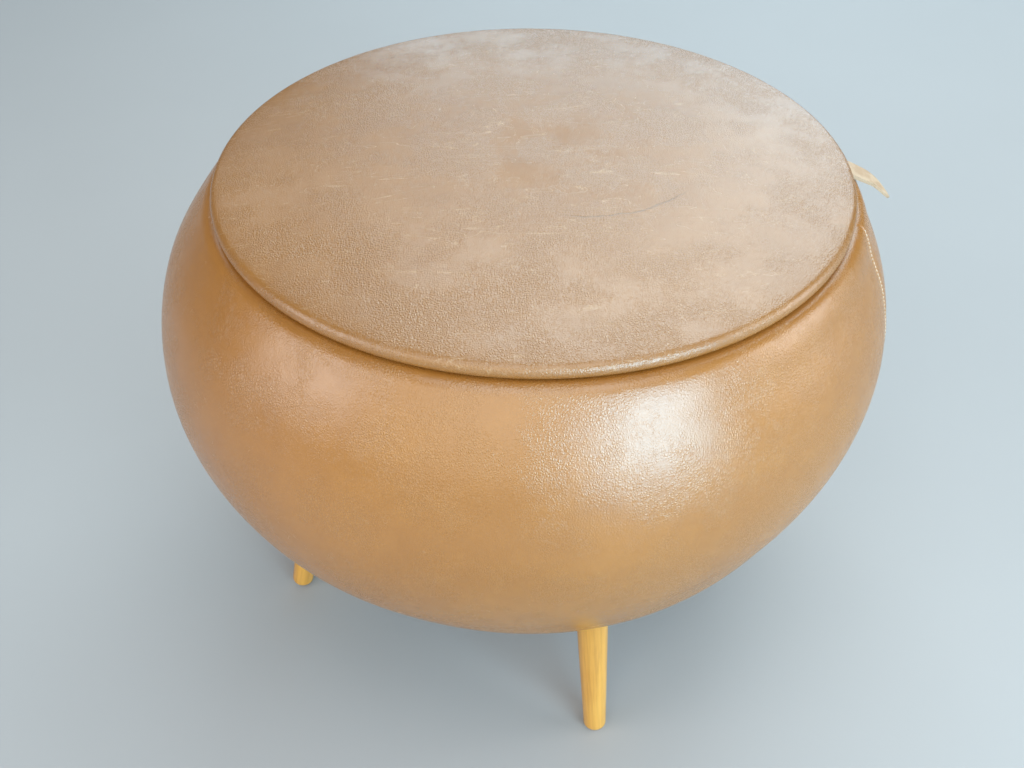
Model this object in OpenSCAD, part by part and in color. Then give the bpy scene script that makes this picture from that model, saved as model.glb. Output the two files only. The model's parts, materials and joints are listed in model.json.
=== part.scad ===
// Round storage ottoman: padded leather tub on four splayed legs, with a lift-off padded lid.
// The origin is on the floor under the middle, +Z is up and +X runs out through the pull tab.

/* [Body] */
// Diameter of the padded body at its widest ring
body_d = 600; // [520:1:720]
// Height of the widest ring above the leather underside
belly_h = 156.4; // [130:0.1:190]
// Height of the flat rim above the widest ring
rim_h = 124.7; // [100:0.1:150]
// Height over which the curve above the widest ring would close at the centre
upper_reach = 236.6; // [190:0.1:300]
// Height over which the curve below the widest ring would close at the centre
lower_reach = 257.5; // [215:0.1:320]
// Squareness of the curve above the widest ring
upper_power = 1.98; // [1.7:0.01:2.4]
// Squareness of the curve below the widest ring
lower_power = 1.84; // [1.7:0.01:2.4]
// Run of the rounding where the side meets the flat rim
shoulder_run = 5; // [2:0.5:8]
// Direction of the first of the two upright cover seams
seam_angle = -17; // [-90:1:90]

/* [Leather and padding] */
// Thickness of the leather
leather_t = 1.4; // [0.8:0.1:2]
// Thickness of the soft wadding under the leather
wadding_t = 3; // [2:0.5:6]
// Thickness of the felt pad on the rim
rim_pad_t = 4.3; // [3:0.1:8]
// Width of the leather turned in under the base
base_hem_w = 22; // [14:1:30]
// Depth of the leather turned down inside the tub
rim_hem_h = 32; // [26:1:45]
// Width of the leather caught between the lid and its locating disc
lid_hem_w = 12; // [9:0.5:20]

/* [Tub] */
// Thickness of the base board under the drum
board_t = 10; // [8:1:15]
// Height of the step on the base board that centres the drum
spigot_h = 8; // [6:1:12]
// Foam left outside the edge of the base board
edge_foam = 1.4; // [1:0.1:6]
// Distance from the edge of the base board to the outside of the drum
drum_inset = 4.6; // [3:0.1:10]
// Thickness of the bent drum wall
drum_t = 5; // [3:0.5:8]
// Thickness of the wooden rim ring
ring_t = 16; // [12:1:22]
// Distance from the rim shoulder to the outer edge of the rim ring
ring_inset = 14; // [10:1:20]
// Least width of the rim ring
ring_w = 23; // [18:1:30]
// Thickness of the stiff card behind the lining
card_t = 1.5; // [1:0.1:2.5]
// Thickness of the lining fabric
lining_t = 1.2; // [0.8:0.1:2]
// Thickness of the padded floor panel
floor_t = 3; // [2:0.5:6]
// Height of the lining's top edge below the rim
lining_drop = 18; // [12:1:24]
// Thickness of the black cloth under the base
dust_t = 0.6; // [0.4:0.1:1]

/* [Legs] */
// Direction of the first leg
leg_angle = 12; // [-45:1:45]
// Height of the base board's underside above the floor
leg_h = 140; // [90:1:200]
// Diameter of a leg at the base board
leg_top_d = 28; // [24:0.5:40]
// Diameter of a leg above its rounded foot
leg_foot_d = 19; // [16:0.5:28]
// Rounding of a leg's foot
leg_foot_round = 6; // [2:0.5:7]
// Outward slope of a leg
leg_splay = 12; // [0:0.5:14]
// Distance from the inside of the drum to a leg's centre
leg_inset = 14.1; // [14:0.1:40]
// Thickness of the nylon glide under a leg
glide_h = 3; // [2:0.5:5]
// Diameter of a glide
glide_d = 11; // [9:0.5:12]

/* [Lid] */
// Distance the lid's edge stays inside the rim shoulder
lid_setback = 3.8; // [1:0.1:12]
// Thickness of the lid board, whose edge is a full round
lid_board_t = 10; // [8:0.5:14]
// Rise of the padded crown above the lid's edge roll
crown_h = 21.2; // [14:0.1:40]
// Squareness of the crown
crown_power = 2.6; // [2:0.1:4]
// Thickness of the locating disc under the lid
disc_t = 12; // [9:1:18]
// Room all round between the locating disc and the lining
disc_clear = 3.2; // [2:0.1:6]
// Thickness of the fabric over the locating disc
disc_cloth_t = 0.8; // [0.5:0.1:1.5]

/* [Pull tab] */
// Width of the leather pull tab
tab_w = 23; // [16:0.5:35]
// Thickness of the pull tab
tab_t = 3; // [2:0.1:4]
// Radius to which the tab droops
tab_bend_r = 50; // [35:1:80]
// Angle through which the tab droops
tab_droop = 48.7; // [20:0.1:70]
// Length of the tab held under the lid
tab_hold = 98; // [80:1:120]
// Distance of the tab's bend outside the lid's edge
tab_bend_out = 0.5; // [0:0.1:3]

/* [Fixings] */
// Diameter of the hanger bolts
bolt_d = 8; // [6:1:10]
// Depth of a hanger bolt in its leg
bolt_depth = 25; // [18:1:35]
// Diameter of a T-nut's flange
nut_flange_d = 19; // [16:0.5:19]
// Diameter of the wood screws
screw_d = 3.5; // [3:0.5:4]
// Width of a staple
staple_w = 10; // [6:1:12]
// Thickness of the staple wire
staple_wire = 0.7; // [0.5:0.1:1]
// Diameter of the brads
brad_d = 1.6; // [1.2:0.1:2]

/* [Hidden] */
$fn = 96;

leg_count = 4;

// small working clearances
lid_gap = 0.3;      // under the lid, so that it rests without rubbing
hole_clear = 0.05;  // round a bolt or screw in its hole
glue_gap = 0.1;     // between the foam and the wood it is glued to
slot_clear = 0.1;   // above the tab in its slot
slot_side = 0.5;    // beside the tab in its slot
lining_gap = 4;     // between the lining card and the turned-down leather
seat_clear = 2;     // round a leg top in the hem and the dust cover

// heights
board_z = leg_h;
under_z = board_z - leather_t;
drum_z = board_z + board_t;
floor_z = drum_z + spigot_h;
widest_z = under_z + belly_h;
rim_z = widest_z + rim_h;
pad_z = rim_z - leather_t;
ring_top = pad_z - rim_pad_t;
lid_z = rim_z + lid_gap;
lid_board_z = lid_z + leather_t;
lid_board_top = lid_board_z + lid_board_t;
disc_z = lid_z - disc_t;

// radius of the body at height z, measured depth below the leather's face
function belly_r(z, depth) =
    let (up = z > widest_z,
        reach = (up ? upper_reach : lower_reach) - depth,
        power = up ? upper_power : lower_power)
    (body_d / 2 - depth) * pow(1 - pow(abs(z - widest_z) / reach, power), 1 / power);

foam_depth = leather_t + wadding_t;
rim_r = belly_r(rim_z, 0);
board_r = belly_r(board_z, foam_depth) - edge_foam;
ring_r = rim_r - ring_inset;
drum_r = min(board_r - drum_inset, ring_r - ring_w);
tub_r = drum_r - drum_t;
lining_r = tub_r - card_t - lining_t;

// points up the side of the body from low to high
side_steps = 28;
function side_line(depth, low, high, steps = side_steps) =
    [for (i = [0:steps]) let (z = low + (high - low) * i / steps) [belly_r(z, depth), z]];

// points round the shoulder, from the top of the ring to the flat rim at height top
shoulder_steps = 6;
function bend(a, b, c, t) = (1 - t) * (1 - t) * a + 2 * t * (1 - t) * b + t * t * c;
function shoulder_line(depth, top) =
    let (a = [belly_r(ring_top, depth), ring_top],
        b = [belly_r(top, depth), top],
        c = b - [shoulder_run, 0])
    [for (i = [1:shoulder_steps]) bend(a, b, c, i / shoulder_steps)];

function arc_line(x, z, r, from, to, steps) =
    [for (i = [0:steps]) let (a = from + (to - from) * i / steps) [x + r * cos(a), z + r * sin(a)]];

function turned_back(points) = [for (i = [len(points) - 1:-1:0]) points[i]];

// legs
leg_top_r = tub_r - leg_inset;
leg_foot_r = leg_top_r + (leg_h - glide_h) * tan(leg_splay);
leg_length = leg_h / cos(leg_splay);
bolt_r = leg_top_r + bolt_depth / 2 * tan(leg_splay);
nut_t = 1.2;
nut_sink = nut_t + 0.3;
nut_barrel_d = bolt_d + 2.4;
nut_barrel_h = 9;
foot_round_steps = 8;

// lid
lid_r = rim_r - lid_setback;
roll_r = lid_board_t / 2 + leather_t;
roll_x = lid_r - roll_r;
roll_z = lid_z + roll_r;
crown_z = roll_z + roll_r;
disc_r = lining_r - disc_clear - disc_cloth_t;
lid_hem_r = disc_r - lid_hem_w;
crown_steps = 24;
roll_steps = 16;
function crown(r) = crown_z + crown_h * (1 - pow(r / roll_x, crown_power));
foam_edge = 0.5;    // height of the lid foam at its edge
lid_foam_r = roll_x
    * pow(1 - (lid_board_top + foam_edge + foam_depth - crown_z) / crown_h, 1 / crown_power);
lid_wadding_r = roll_x - 3;
function crown_line(drop, r0, r1, steps = crown_steps) =
    [for (i = [0:steps]) let (r = r0 + (r1 - r0) * i / steps) [r, crown(r) - drop]];

// pull tab
tab_x = lid_r + tab_bend_out;
tab_z = lid_z + tab_t / 2;
tab_root_x = tab_x - tab_t / 2 - lid_gap;
tab_tip_x = tab_x + tab_bend_r * sin(tab_droop);

// fixings
bay_staples = 7;
base_staples_n = leg_count * bay_staples;
rim_staples_n = 30;
lid_staples_n = 30;
staple_leg = 7;
pins_n = 16;
pin_l = 18;
disc_screws_n = 6;
disc_screw_ring = disc_r * 0.6;
disc_screw_l = 20;
tab_screw_l = 9;
tab_screw_x = [tab_root_x - tab_hold + 12, tab_root_x - tab_hold + 28];
screw_head_d = screw_d * 2;
screw_head_h = 2;
nail_d = 1.8;
nail_l = 14;
nail_z = 1;

module ring_of(count, from = 0) {
    for (i = [0:count - 1]) rotate([0, 0, from + i * 360 / count]) children();
}

module tube(inner, outer, low, high) {
    rotate_extrude() translate([inner, low]) square([outer - inner, high - low]);
}

module plate(r, low, high) {
    translate([0, 0, low]) cylinder(h = high - low, r = r);
}

// a wire staple: crown across the radius in the XY plane, legs pointing up
module staple() {
    translate([-staple_wire / 2, -staple_w / 2, 0]) cube([staple_wire, staple_w, staple_wire]);
    for (side = [-1, 1])
        translate([-staple_wire / 2, side * (staple_w - staple_wire) / 2 - staple_wire / 2, 0])
            cube([staple_wire, staple_wire, staple_leg]);
}

// a countersunk screw pointing up, its head's face at z = 0
module screw(length) {
    cylinder(h = screw_head_h, r1 = screw_head_d / 2, r2 = screw_d / 2);
    translate([0, 0, screw_head_h / 2]) cylinder(h = length - screw_head_h / 2, r = screw_d / 2);
}

module screw_hole(length) {
    translate([0, 0, -hole_clear])
        cylinder(h = screw_head_h + hole_clear, r1 = screw_head_d / 2 + 2 * hole_clear,
            r2 = screw_d / 2 + hole_clear);
    cylinder(h = length + 1, r = screw_d / 2 + hole_clear);
}

// clearance in the hem and the dust cover for the leg tops
module leg_seats() {
    ring_of(leg_count, leg_angle)
        translate([leg_top_r, 0, under_z - 5]) cylinder(h = leather_t + 5, r = leg_top_d / 2 + seat_clear);
}

module bolt_holes() {
    ring_of(leg_count, leg_angle) translate([bolt_r, 0, 0]) {
        translate([0, 0, board_z - 1]) cylinder(h = 30, r = bolt_d / 2 + hole_clear);
        translate([0, 0, floor_z - nut_sink - nut_barrel_h])
            cylinder(h = nut_barrel_h + nut_sink + 1, r = nut_barrel_d / 2 + hole_clear);
        translate([0, 0, floor_z - nut_sink])
            cylinder(h = nut_sink + 1, r = nut_flange_d / 2 + hole_clear);
    }
}

module bottom_board() {
    color("burlywood") difference() {
        union() {
            plate(board_r, board_z, drum_z);
            plate(tub_r, drum_z - 1, floor_z);
        }
        bolt_holes();
    }
}

module drum_wall() {
    color("tan") tube(tub_r, drum_r, drum_z, ring_top);
}

module rim_ring() {
    color("burlywood") tube(drum_r, ring_r, ring_top - ring_t, ring_top);
}

module rim_pad() {
    color("gainsboro") rotate_extrude() polygon(concat(
        [[tub_r, ring_top], [belly_r(ring_top, leather_t), ring_top]],
        shoulder_line(leather_t, pad_z),
        [[tub_r, pad_z]]));
}

module body_foam() {
    ring_low = ring_top - ring_t - glue_gap;
    color("lightyellow") rotate_extrude() polygon(concat(
        [[board_r + glue_gap, board_z]],
        side_line(foam_depth, board_z, ring_top),
        [[ring_r + glue_gap, ring_top], [ring_r + glue_gap, ring_low], [drum_r + glue_gap, ring_low],
            [drum_r + glue_gap, drum_z + glue_gap], [board_r + glue_gap, drum_z + glue_gap]]));
}

module body_wadding() {
    color("white") rotate_extrude() polygon(concat(
        side_line(leather_t, board_z, ring_top),
        turned_back(side_line(foam_depth, board_z, ring_top))));
}

// half of the leather cover, from its hem under the board to its hem inside the tub
module half_cover(from) {
    hem_r = board_r - base_hem_w;
    hem_z = rim_z - rim_hem_h;
    difference() {
        rotate([0, 0, from]) rotate_extrude(angle = 180) polygon(concat(
            [[hem_r, under_z]],
            side_line(0, under_z, ring_top),
            shoulder_line(0, rim_z),
            [[tub_r - leather_t, rim_z], [tub_r - leather_t, hem_z], [tub_r, hem_z], [tub_r, pad_z]],
            turned_back(shoulder_line(leather_t, pad_z)),
            turned_back(side_line(leather_t, board_z, ring_top)),
            [[hem_r, board_z]]));
        leg_seats();
    }
}

module body_cover_front() {
    color("saddlebrown") half_cover(seam_angle + 180);
}

module body_cover_back() {
    color("saddlebrown") half_cover(seam_angle);
}

module lining_card() {
    color("darkkhaki") tube(tub_r - card_t, tub_r, floor_z, rim_z - rim_hem_h - lining_gap);
}

module lining_wall() {
    color("dimgray") tube(lining_r, tub_r - card_t, floor_z, rim_z - lining_drop);
}

module lining_floor() {
    color("dimgray") plate(lining_r - lid_gap, floor_z, floor_z + floor_t);
}

module dust_cover() {
    color("black") difference() {
        plate(board_r - drum_inset, under_z - dust_t, under_z);
        leg_seats();
    }
}

// a turned leg, cut level where it meets the base board and where it takes its glide
module leg(number) {
    foot = leg_foot_d / 2;
    top_out = leg_top_d / 2;
    over = 10;
    grow = (top_out - foot) / leg_length;
    rotate([0, 0, leg_angle + number * 360 / leg_count]) difference() {
        intersection() {
            translate([leg_top_r, 0, leg_h]) rotate([0, -leg_splay, 0]) rotate_extrude() polygon(concat(
                [[0, -leg_length]],
                arc_line(foot - leg_foot_round, leg_foot_round - leg_length, leg_foot_round, -90, 0,
                    foot_round_steps),
                [[top_out + grow * over, over], [0, over]]));
            translate([0, -leg_top_d, glide_h]) cube([body_d, 2 * leg_top_d, leg_h - glide_h]);
        }
        translate([bolt_r, 0, leg_h - bolt_depth - 1])
            cylinder(h = bolt_depth + 2, r = bolt_d / 2 + hole_clear);
    }
}

module leg_right() {
    color("peru") leg(0);
}

module leg_back() {
    color("peru") leg(1);
}

module leg_left() {
    color("peru") leg(2);
}

module leg_front() {
    color("peru") leg(3);
}

module hanger_bolts() {
    color("silver") ring_of(leg_count, leg_angle)
        translate([bolt_r, 0, leg_h - bolt_depth])
            cylinder(h = floor_z - nut_sink + nut_t - leg_h + bolt_depth, r = bolt_d / 2);
}

module t_nuts() {
    color("gray") ring_of(leg_count, leg_angle)
        translate([bolt_r, 0, floor_z - nut_sink]) difference() {
            union() {
                cylinder(h = nut_t, r = nut_flange_d / 2);
                translate([0, 0, -nut_barrel_h]) cylinder(h = nut_barrel_h + nut_t / 2, r = nut_barrel_d / 2);
            }
            translate([0, 0, -nut_barrel_h - 1])
                cylinder(h = nut_barrel_h + 4, r = bolt_d / 2 + hole_clear);
        }
}

module foot_glides() {
    color("ivory") ring_of(leg_count, leg_angle) translate([leg_foot_r, 0, 0])
        cylinder(h = glide_h, r = glide_d / 2);
}

module glide_nails() {
    color("silver") ring_of(leg_count, leg_angle) translate([leg_foot_r, 0, nail_z])
        cylinder(h = nail_l, r = nail_d / 2);
}

module base_staples() {
    pitch = 360 / base_staples_n;
    color("silver") ring_of(base_staples_n, leg_angle + pitch / 2)
        translate([board_r - base_hem_w * 0.6, 0, under_z]) staple();
}

// staples through the turned-down leather, seen from inside the tub
module rim_staples() {
    color("silver") ring_of(rim_staples_n)
        translate([tub_r - leather_t, 0, rim_z - rim_hem_h * 0.78]) rotate([0, 90, 0])
            scale([1, 1, (drum_t - 0.5) / staple_leg]) staple();
}

module drum_pins() {
    color("silver") ring_of(pins_n, leg_angle + 180 / pins_n)
        translate([drum_r - pin_l, 0, drum_z + spigot_h / 2]) rotate([0, 90, 0])
            cylinder(h = pin_l, r = brad_d / 2);
}

module ring_pins() {
    color("silver") ring_of(pins_n)
        translate([tub_r, 0, ring_top - ring_t / 2]) rotate([0, 90, 0]) cylinder(h = pin_l, r = brad_d / 2);
}

// the slot that lets the tab lie flush under the lid
module tab_slot() {
    translate([tab_root_x - tab_hold - slot_side, -tab_w / 2 - slot_side, lid_z - 1])
        cube([tab_hold + 20, tab_w + 2 * slot_side, tab_t + 1 + slot_clear]);
}

module disc_screw_ring_at(z) {
    ring_of(disc_screws_n, 180 / disc_screws_n) translate([disc_screw_ring, 0, z]) children();
}

module lid_board() {
    edge = lid_board_t / 2;
    color("burlywood") difference() {
        rotate_extrude() polygon(concat(
            [[0, lid_board_z]],
            arc_line(roll_x, roll_z, edge, -90, 90, roll_steps),
            [[0, lid_board_top]]));
        tab_slot();
        disc_screw_ring_at(disc_z) screw_hole(disc_screw_l);
        for (x = tab_screw_x) translate([x, 0, lid_z]) screw_hole(tab_screw_l);
    }
}

module lid_foam() {
    color("lightyellow") rotate_extrude() polygon(concat(
        [[0, lid_board_top], [lid_foam_r, lid_board_top]],
        turned_back(crown_line(foam_depth, 0, lid_foam_r))));
}

module lid_wadding() {
    color("white") rotate_extrude() polygon(concat(
        crown_line(foam_depth, 0, lid_foam_r),
        [[lid_foam_r, lid_board_top], [lid_wadding_r, lid_board_top]],
        turned_back(crown_line(leather_t, 0, lid_wadding_r))));
}

module lid_cover() {
    color("sienna") difference() {
        rotate_extrude() polygon(concat(
            [[lid_hem_r, lid_z]],
            arc_line(roll_x, roll_z, roll_r, -90, 90, roll_steps),
            turned_back(crown_line(0, 0, lid_wadding_r)),
            crown_line(leather_t, 0, lid_wadding_r),
            arc_line(roll_x, roll_z, roll_r - leather_t, 90, -90, roll_steps),
            [[lid_hem_r, lid_board_z]]));
        tab_slot();
    }
}

module lid_disc() {
    color("burlywood") difference() {
        union() {
            plate(disc_r, disc_z, lid_z);
            plate(lid_hem_r - slot_side, lid_z - 1, lid_board_z);
        }
        tab_slot();
        disc_screw_ring_at(disc_z) screw_hole(disc_screw_l);
    }
}

module disc_cover() {
    color("dimgray") rotate_extrude() polygon([
        [0, disc_z - disc_cloth_t], [disc_r + disc_cloth_t, disc_z - disc_cloth_t],
        [disc_r + disc_cloth_t, lid_z - lid_gap], [disc_r, lid_z - lid_gap], [disc_r, disc_z], [0, disc_z]]);
}

module disc_screws() {
    color("silver") disc_screw_ring_at(disc_z) screw(disc_screw_l);
}

module tab_root() {
    color("navajowhite") difference() {
        translate([tab_root_x - tab_hold, -tab_w / 2, lid_z]) cube([tab_hold, tab_w, tab_t]);
        for (x = tab_screw_x) translate([x, 0, lid_z]) screw_hole(tab_screw_l);
    }
}

module tab_screws() {
    color("silver") for (x = tab_screw_x) translate([x, 0, lid_z]) screw(tab_screw_l);
}

// staples through the lid hem, with a space left for the tab
module lid_staples() {
    color("silver") for (i = [1:lid_staples_n - 1])
        rotate([0, 0, i * 360 / lid_staples_n])
            translate([lid_hem_r + lid_hem_w / 2, 0, lid_z]) staple();
}

// the free end of the tab: a round knuckle at the bend, then an arc with a round tip
module pull_tab() {
    color("navajowhite") intersection() {
        union() {
            translate([tab_x, tab_w / 2, tab_z]) rotate([90, 0, 0]) cylinder(h = tab_w, r = tab_t / 2);
            translate([tab_x, 0, tab_z - tab_bend_r]) rotate([90, 0, 0]) rotate([0, 0, 90 - tab_droop])
                rotate_extrude(angle = tab_droop)
                    translate([tab_bend_r - tab_t / 2, -tab_w / 2]) square([tab_t, tab_w]);
        }
        translate([0, 0, tab_z - tab_bend_r]) linear_extrude(tab_bend_r + tab_t) {
            translate([tab_tip_x - tab_w / 2, 0]) circle(r = tab_w / 2);
            translate([tab_x - tab_t, -tab_w / 2])
                square([tab_tip_x - tab_w / 2 - tab_x + tab_t, tab_w]);
        }
    }
}

bottom_board();
drum_wall();
rim_ring();
rim_pad();
body_foam();
body_wadding();
body_cover_front();
body_cover_back();
lining_card();
lining_wall();
lining_floor();
dust_cover();
leg_right();
leg_back();
leg_left();
leg_front();
hanger_bolts();
t_nuts();
foot_glides();
glide_nails();
base_staples();
rim_staples();
drum_pins();
ring_pins();
lid_board();
lid_foam();
lid_wadding();
lid_cover();
lid_disc();
disc_cover();
disc_screws();
tab_root();
tab_screws();
lid_staples();
pull_tab();
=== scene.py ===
import json
import math

import bmesh
import bpy
import numpy as np
from mathutils import Matrix, Vector, noise
from mathutils.geometry import delaunay_2d_cdt


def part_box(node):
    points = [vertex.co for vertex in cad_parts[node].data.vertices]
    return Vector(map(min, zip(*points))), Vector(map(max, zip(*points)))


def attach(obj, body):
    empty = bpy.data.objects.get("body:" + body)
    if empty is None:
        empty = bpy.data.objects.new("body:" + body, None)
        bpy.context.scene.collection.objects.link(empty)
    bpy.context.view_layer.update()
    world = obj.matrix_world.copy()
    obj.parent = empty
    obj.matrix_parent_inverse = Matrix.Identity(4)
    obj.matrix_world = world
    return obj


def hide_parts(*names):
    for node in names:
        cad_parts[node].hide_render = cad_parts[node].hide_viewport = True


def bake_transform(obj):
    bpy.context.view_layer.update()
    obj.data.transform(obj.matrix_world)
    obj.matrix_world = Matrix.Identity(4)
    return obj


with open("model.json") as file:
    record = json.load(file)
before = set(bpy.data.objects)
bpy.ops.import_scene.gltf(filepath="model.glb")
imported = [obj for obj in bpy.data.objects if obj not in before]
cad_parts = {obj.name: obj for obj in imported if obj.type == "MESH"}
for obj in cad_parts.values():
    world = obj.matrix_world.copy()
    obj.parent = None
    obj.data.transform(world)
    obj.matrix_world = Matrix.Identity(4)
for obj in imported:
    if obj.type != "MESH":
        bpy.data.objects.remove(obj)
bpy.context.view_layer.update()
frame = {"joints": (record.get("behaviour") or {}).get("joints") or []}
scene = bpy.context.scene
mm = 0.001


# places and sizes that everything is worked out from
def nodeBox(name):
    low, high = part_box(name)
    return {"low": low, "high": high, "r": high.y, "bottom": low.z, "top": high.z}


coverBox = nodeBox("body_cover_back")
boardBox = nodeBox("bottom_board")
drumBox = nodeBox("drum_wall")
cardBox = nodeBox("lining_card")
liningBox = nodeBox("lining_wall")
liningFloorBox = nodeBox("lining_floor")
dustBox = nodeBox("dust_cover")
ringBox = nodeBox("rim_ring")
lidBox = nodeBox("lid_cover")
lidBoardBox = nodeBox("lid_board")
discBox = nodeBox("lid_disc")
discClothBox = nodeBox("disc_cover")
tabBox = nodeBox("pull_tab")
tabRootBox = nodeBox("tab_root")
tabJoint = next(j for j in frame["joints"] if j["name"] == "tab_flex")

bodyShape = {
    "radius": 0.300,
    "widest": coverBox["bottom"] + 0.1564,
    "upperReach": 0.2366,
    "upperPower": 1.98,
    "lowerReach": 0.2575,
    "lowerPower": 1.84,
    "leather": 1.4 * mm,
    "wadding": 3 * mm,
    "hemWidth": 22 * mm,
    "turnDown": 32 * mm,
    "lipRound": 4 * mm,
    "gather": 0.7 * mm,
    "shoulderRun": 6 * mm,
    "bottomRun": 6 * mm,
    "seams": (-17.0, 163.0),
    # how this one has settled: the padding leans and one side rides higher
    "lean": (-7.7 * mm, 2.9 * mm),
    "tilt": 0.053,
    "tiltDirection": -3.7,
}


def bellyRadius(z, depth=0.0):
    up = z > bodyShape["widest"]
    reach = bodyShape["upperReach" if up else "lowerReach"] - depth
    power = bodyShape["upperPower" if up else "lowerPower"]
    share = min(abs(z - bodyShape["widest"]) / reach, 0.999)
    return (bodyShape["radius"] - depth) * (1 - share ** power) ** (1 / power)


def bend(a, b, c, count):
    # a rounded corner at b, without its first point
    a, b, c = Vector(a), Vector(b), Vector(c)
    points = []
    for i in range(1, count + 1):
        t = i / count
        points.append(tuple(a * (1 - t) ** 2 + b * 2 * t * (1 - t) + c * t * t))
    return points


# meshes

def makeMesh(name, points, faces):
    mesh = bpy.data.meshes.new(name)
    mesh.from_pydata([tuple(p) for p in points], [], faces)
    mesh.update()
    mesh.shade_smooth()
    obj = bpy.data.objects.new(name, mesh)
    scene.collection.objects.link(obj)
    return obj


def mergeAndTurnOut(obj, distance=1e-6):
    bm = bmesh.new()
    bm.from_mesh(obj.data)
    bmesh.ops.remove_doubles(bm, verts=bm.verts, dist=distance)
    bmesh.ops.dissolve_degenerate(bm, edges=bm.edges, dist=1e-9)
    bmesh.ops.recalc_face_normals(bm, faces=bm.faces)
    bm.to_mesh(obj.data)
    bm.free()
    obj.data.update()
    return obj


def gridCells(grid, ring=True, loop=False):
    # quads over grid[angle][row] by place; ring closes it round the angles, loop closes it along the rows
    nA, nR = grid.shape[:2]
    cells = {}
    for i in range(nA if ring else nA - 1):
        k = (i + 1) % nA
        for j in range(nR if loop else nR - 1):
            m = (j + 1) % nR
            cells[(i, j)] = (i * nR + j, k * nR + j, k * nR + m, i * nR + m)
    return cells


def gridNormals(grid):
    # of a grid that is closed round its angles
    n = np.cross(np.roll(grid, -1, 0) - np.roll(grid, 1, 0), np.gradient(grid, axis=1))
    return n / np.maximum(np.linalg.norm(n, axis=2, keepdims=True), 1e-12)


def turned(profile, angles):
    # a profile of (radius, height) turned through a list of angles in degrees
    a = np.radians(np.array(angles))
    p = np.array(profile)
    out = np.zeros((len(a), len(p), 3))
    out[..., 0] = np.cos(a)[:, None] * p[:, 0]
    out[..., 1] = np.sin(a)[:, None] * p[:, 0]
    out[..., 2] = p[:, 1]
    return out


def fullTurn(steps):
    return [360.0 * i / steps for i in range(steps)]


def loopMesh(name, grid):
    # a solid of closed outlines, one for each angle of a full turn
    return mergeAndTurnOut(makeMesh(name, grid.reshape(-1, 3), list(gridCells(grid, loop=True).values())))


def turnedSolid(name, profile, steps=128):
    # a closed outline turned all the way round
    return loopMesh(name, turned(profile, fullTurn(steps)))


def finishPiece(obj, material, body, replaced=(), sub=0):
    obj.data.materials.clear()
    obj.data.materials.append(material)
    if sub:
        mod = obj.modifiers.new("Subdivision", "SUBSURF")
        mod.levels = sub
        mod.render_levels = sub
    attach(obj, body)
    if replaced:
        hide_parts(*replaced)
    return obj


# cloth: how far stretched leather bellies out between the lines where it is held

def clothBulge(name, grid, held, settings):
    # grid is an open sheet closed round the angles; held is the pin weight of each point
    obj = makeMesh(name, grid.reshape(-1, 3), list(gridCells(grid).values()))
    pins = obj.vertex_groups.new(name="held")
    for index, weight in enumerate(held.ravel()):
        if weight > 0:
            pins.add([index], float(weight), "REPLACE")
    mod = obj.modifiers.new("Cloth", "CLOTH")
    cloth = mod.settings
    cloth.quality = settings["quality"]
    cloth.mass = settings["mass"]
    cloth.tension_stiffness = settings["tension"]
    cloth.compression_stiffness = settings["tension"]
    cloth.shear_stiffness = settings["shear"]
    cloth.bending_stiffness = settings["bending"]
    cloth.use_pressure = True
    cloth.uniform_pressure_force = settings["pressure"]
    cloth.effector_weights.gravity = 0
    cloth.vertex_group_mass = "held"
    mod.point_cache.frame_start = 1
    mod.point_cache.frame_end = settings["frames"]
    for f in range(1, settings["frames"] + 1):
        scene.frame_set(f)
    graph = bpy.context.evaluated_depsgraph_get()
    result = obj.evaluated_get(graph).to_mesh()
    moved = np.zeros(len(obj.data.vertices) * 3)
    result.vertices.foreach_get("co", moved)
    obj.evaluated_get(graph).to_mesh_clear()
    moved = moved.reshape(grid.shape)
    scene.frame_set(1)
    mesh = obj.data
    bpy.data.objects.remove(obj)
    bpy.data.meshes.remove(mesh)
    normals = gridNormals(grid)
    push = ((moved - grid) * normals).sum(2)
    if np.median(push) < 0:
        push = -push
    cap = settings["cap"]
    push = cap * np.tanh(push / cap)
    free = push[held < 0.05]
    return push - np.percentile(free, settings["level"])


# shader groups

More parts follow.
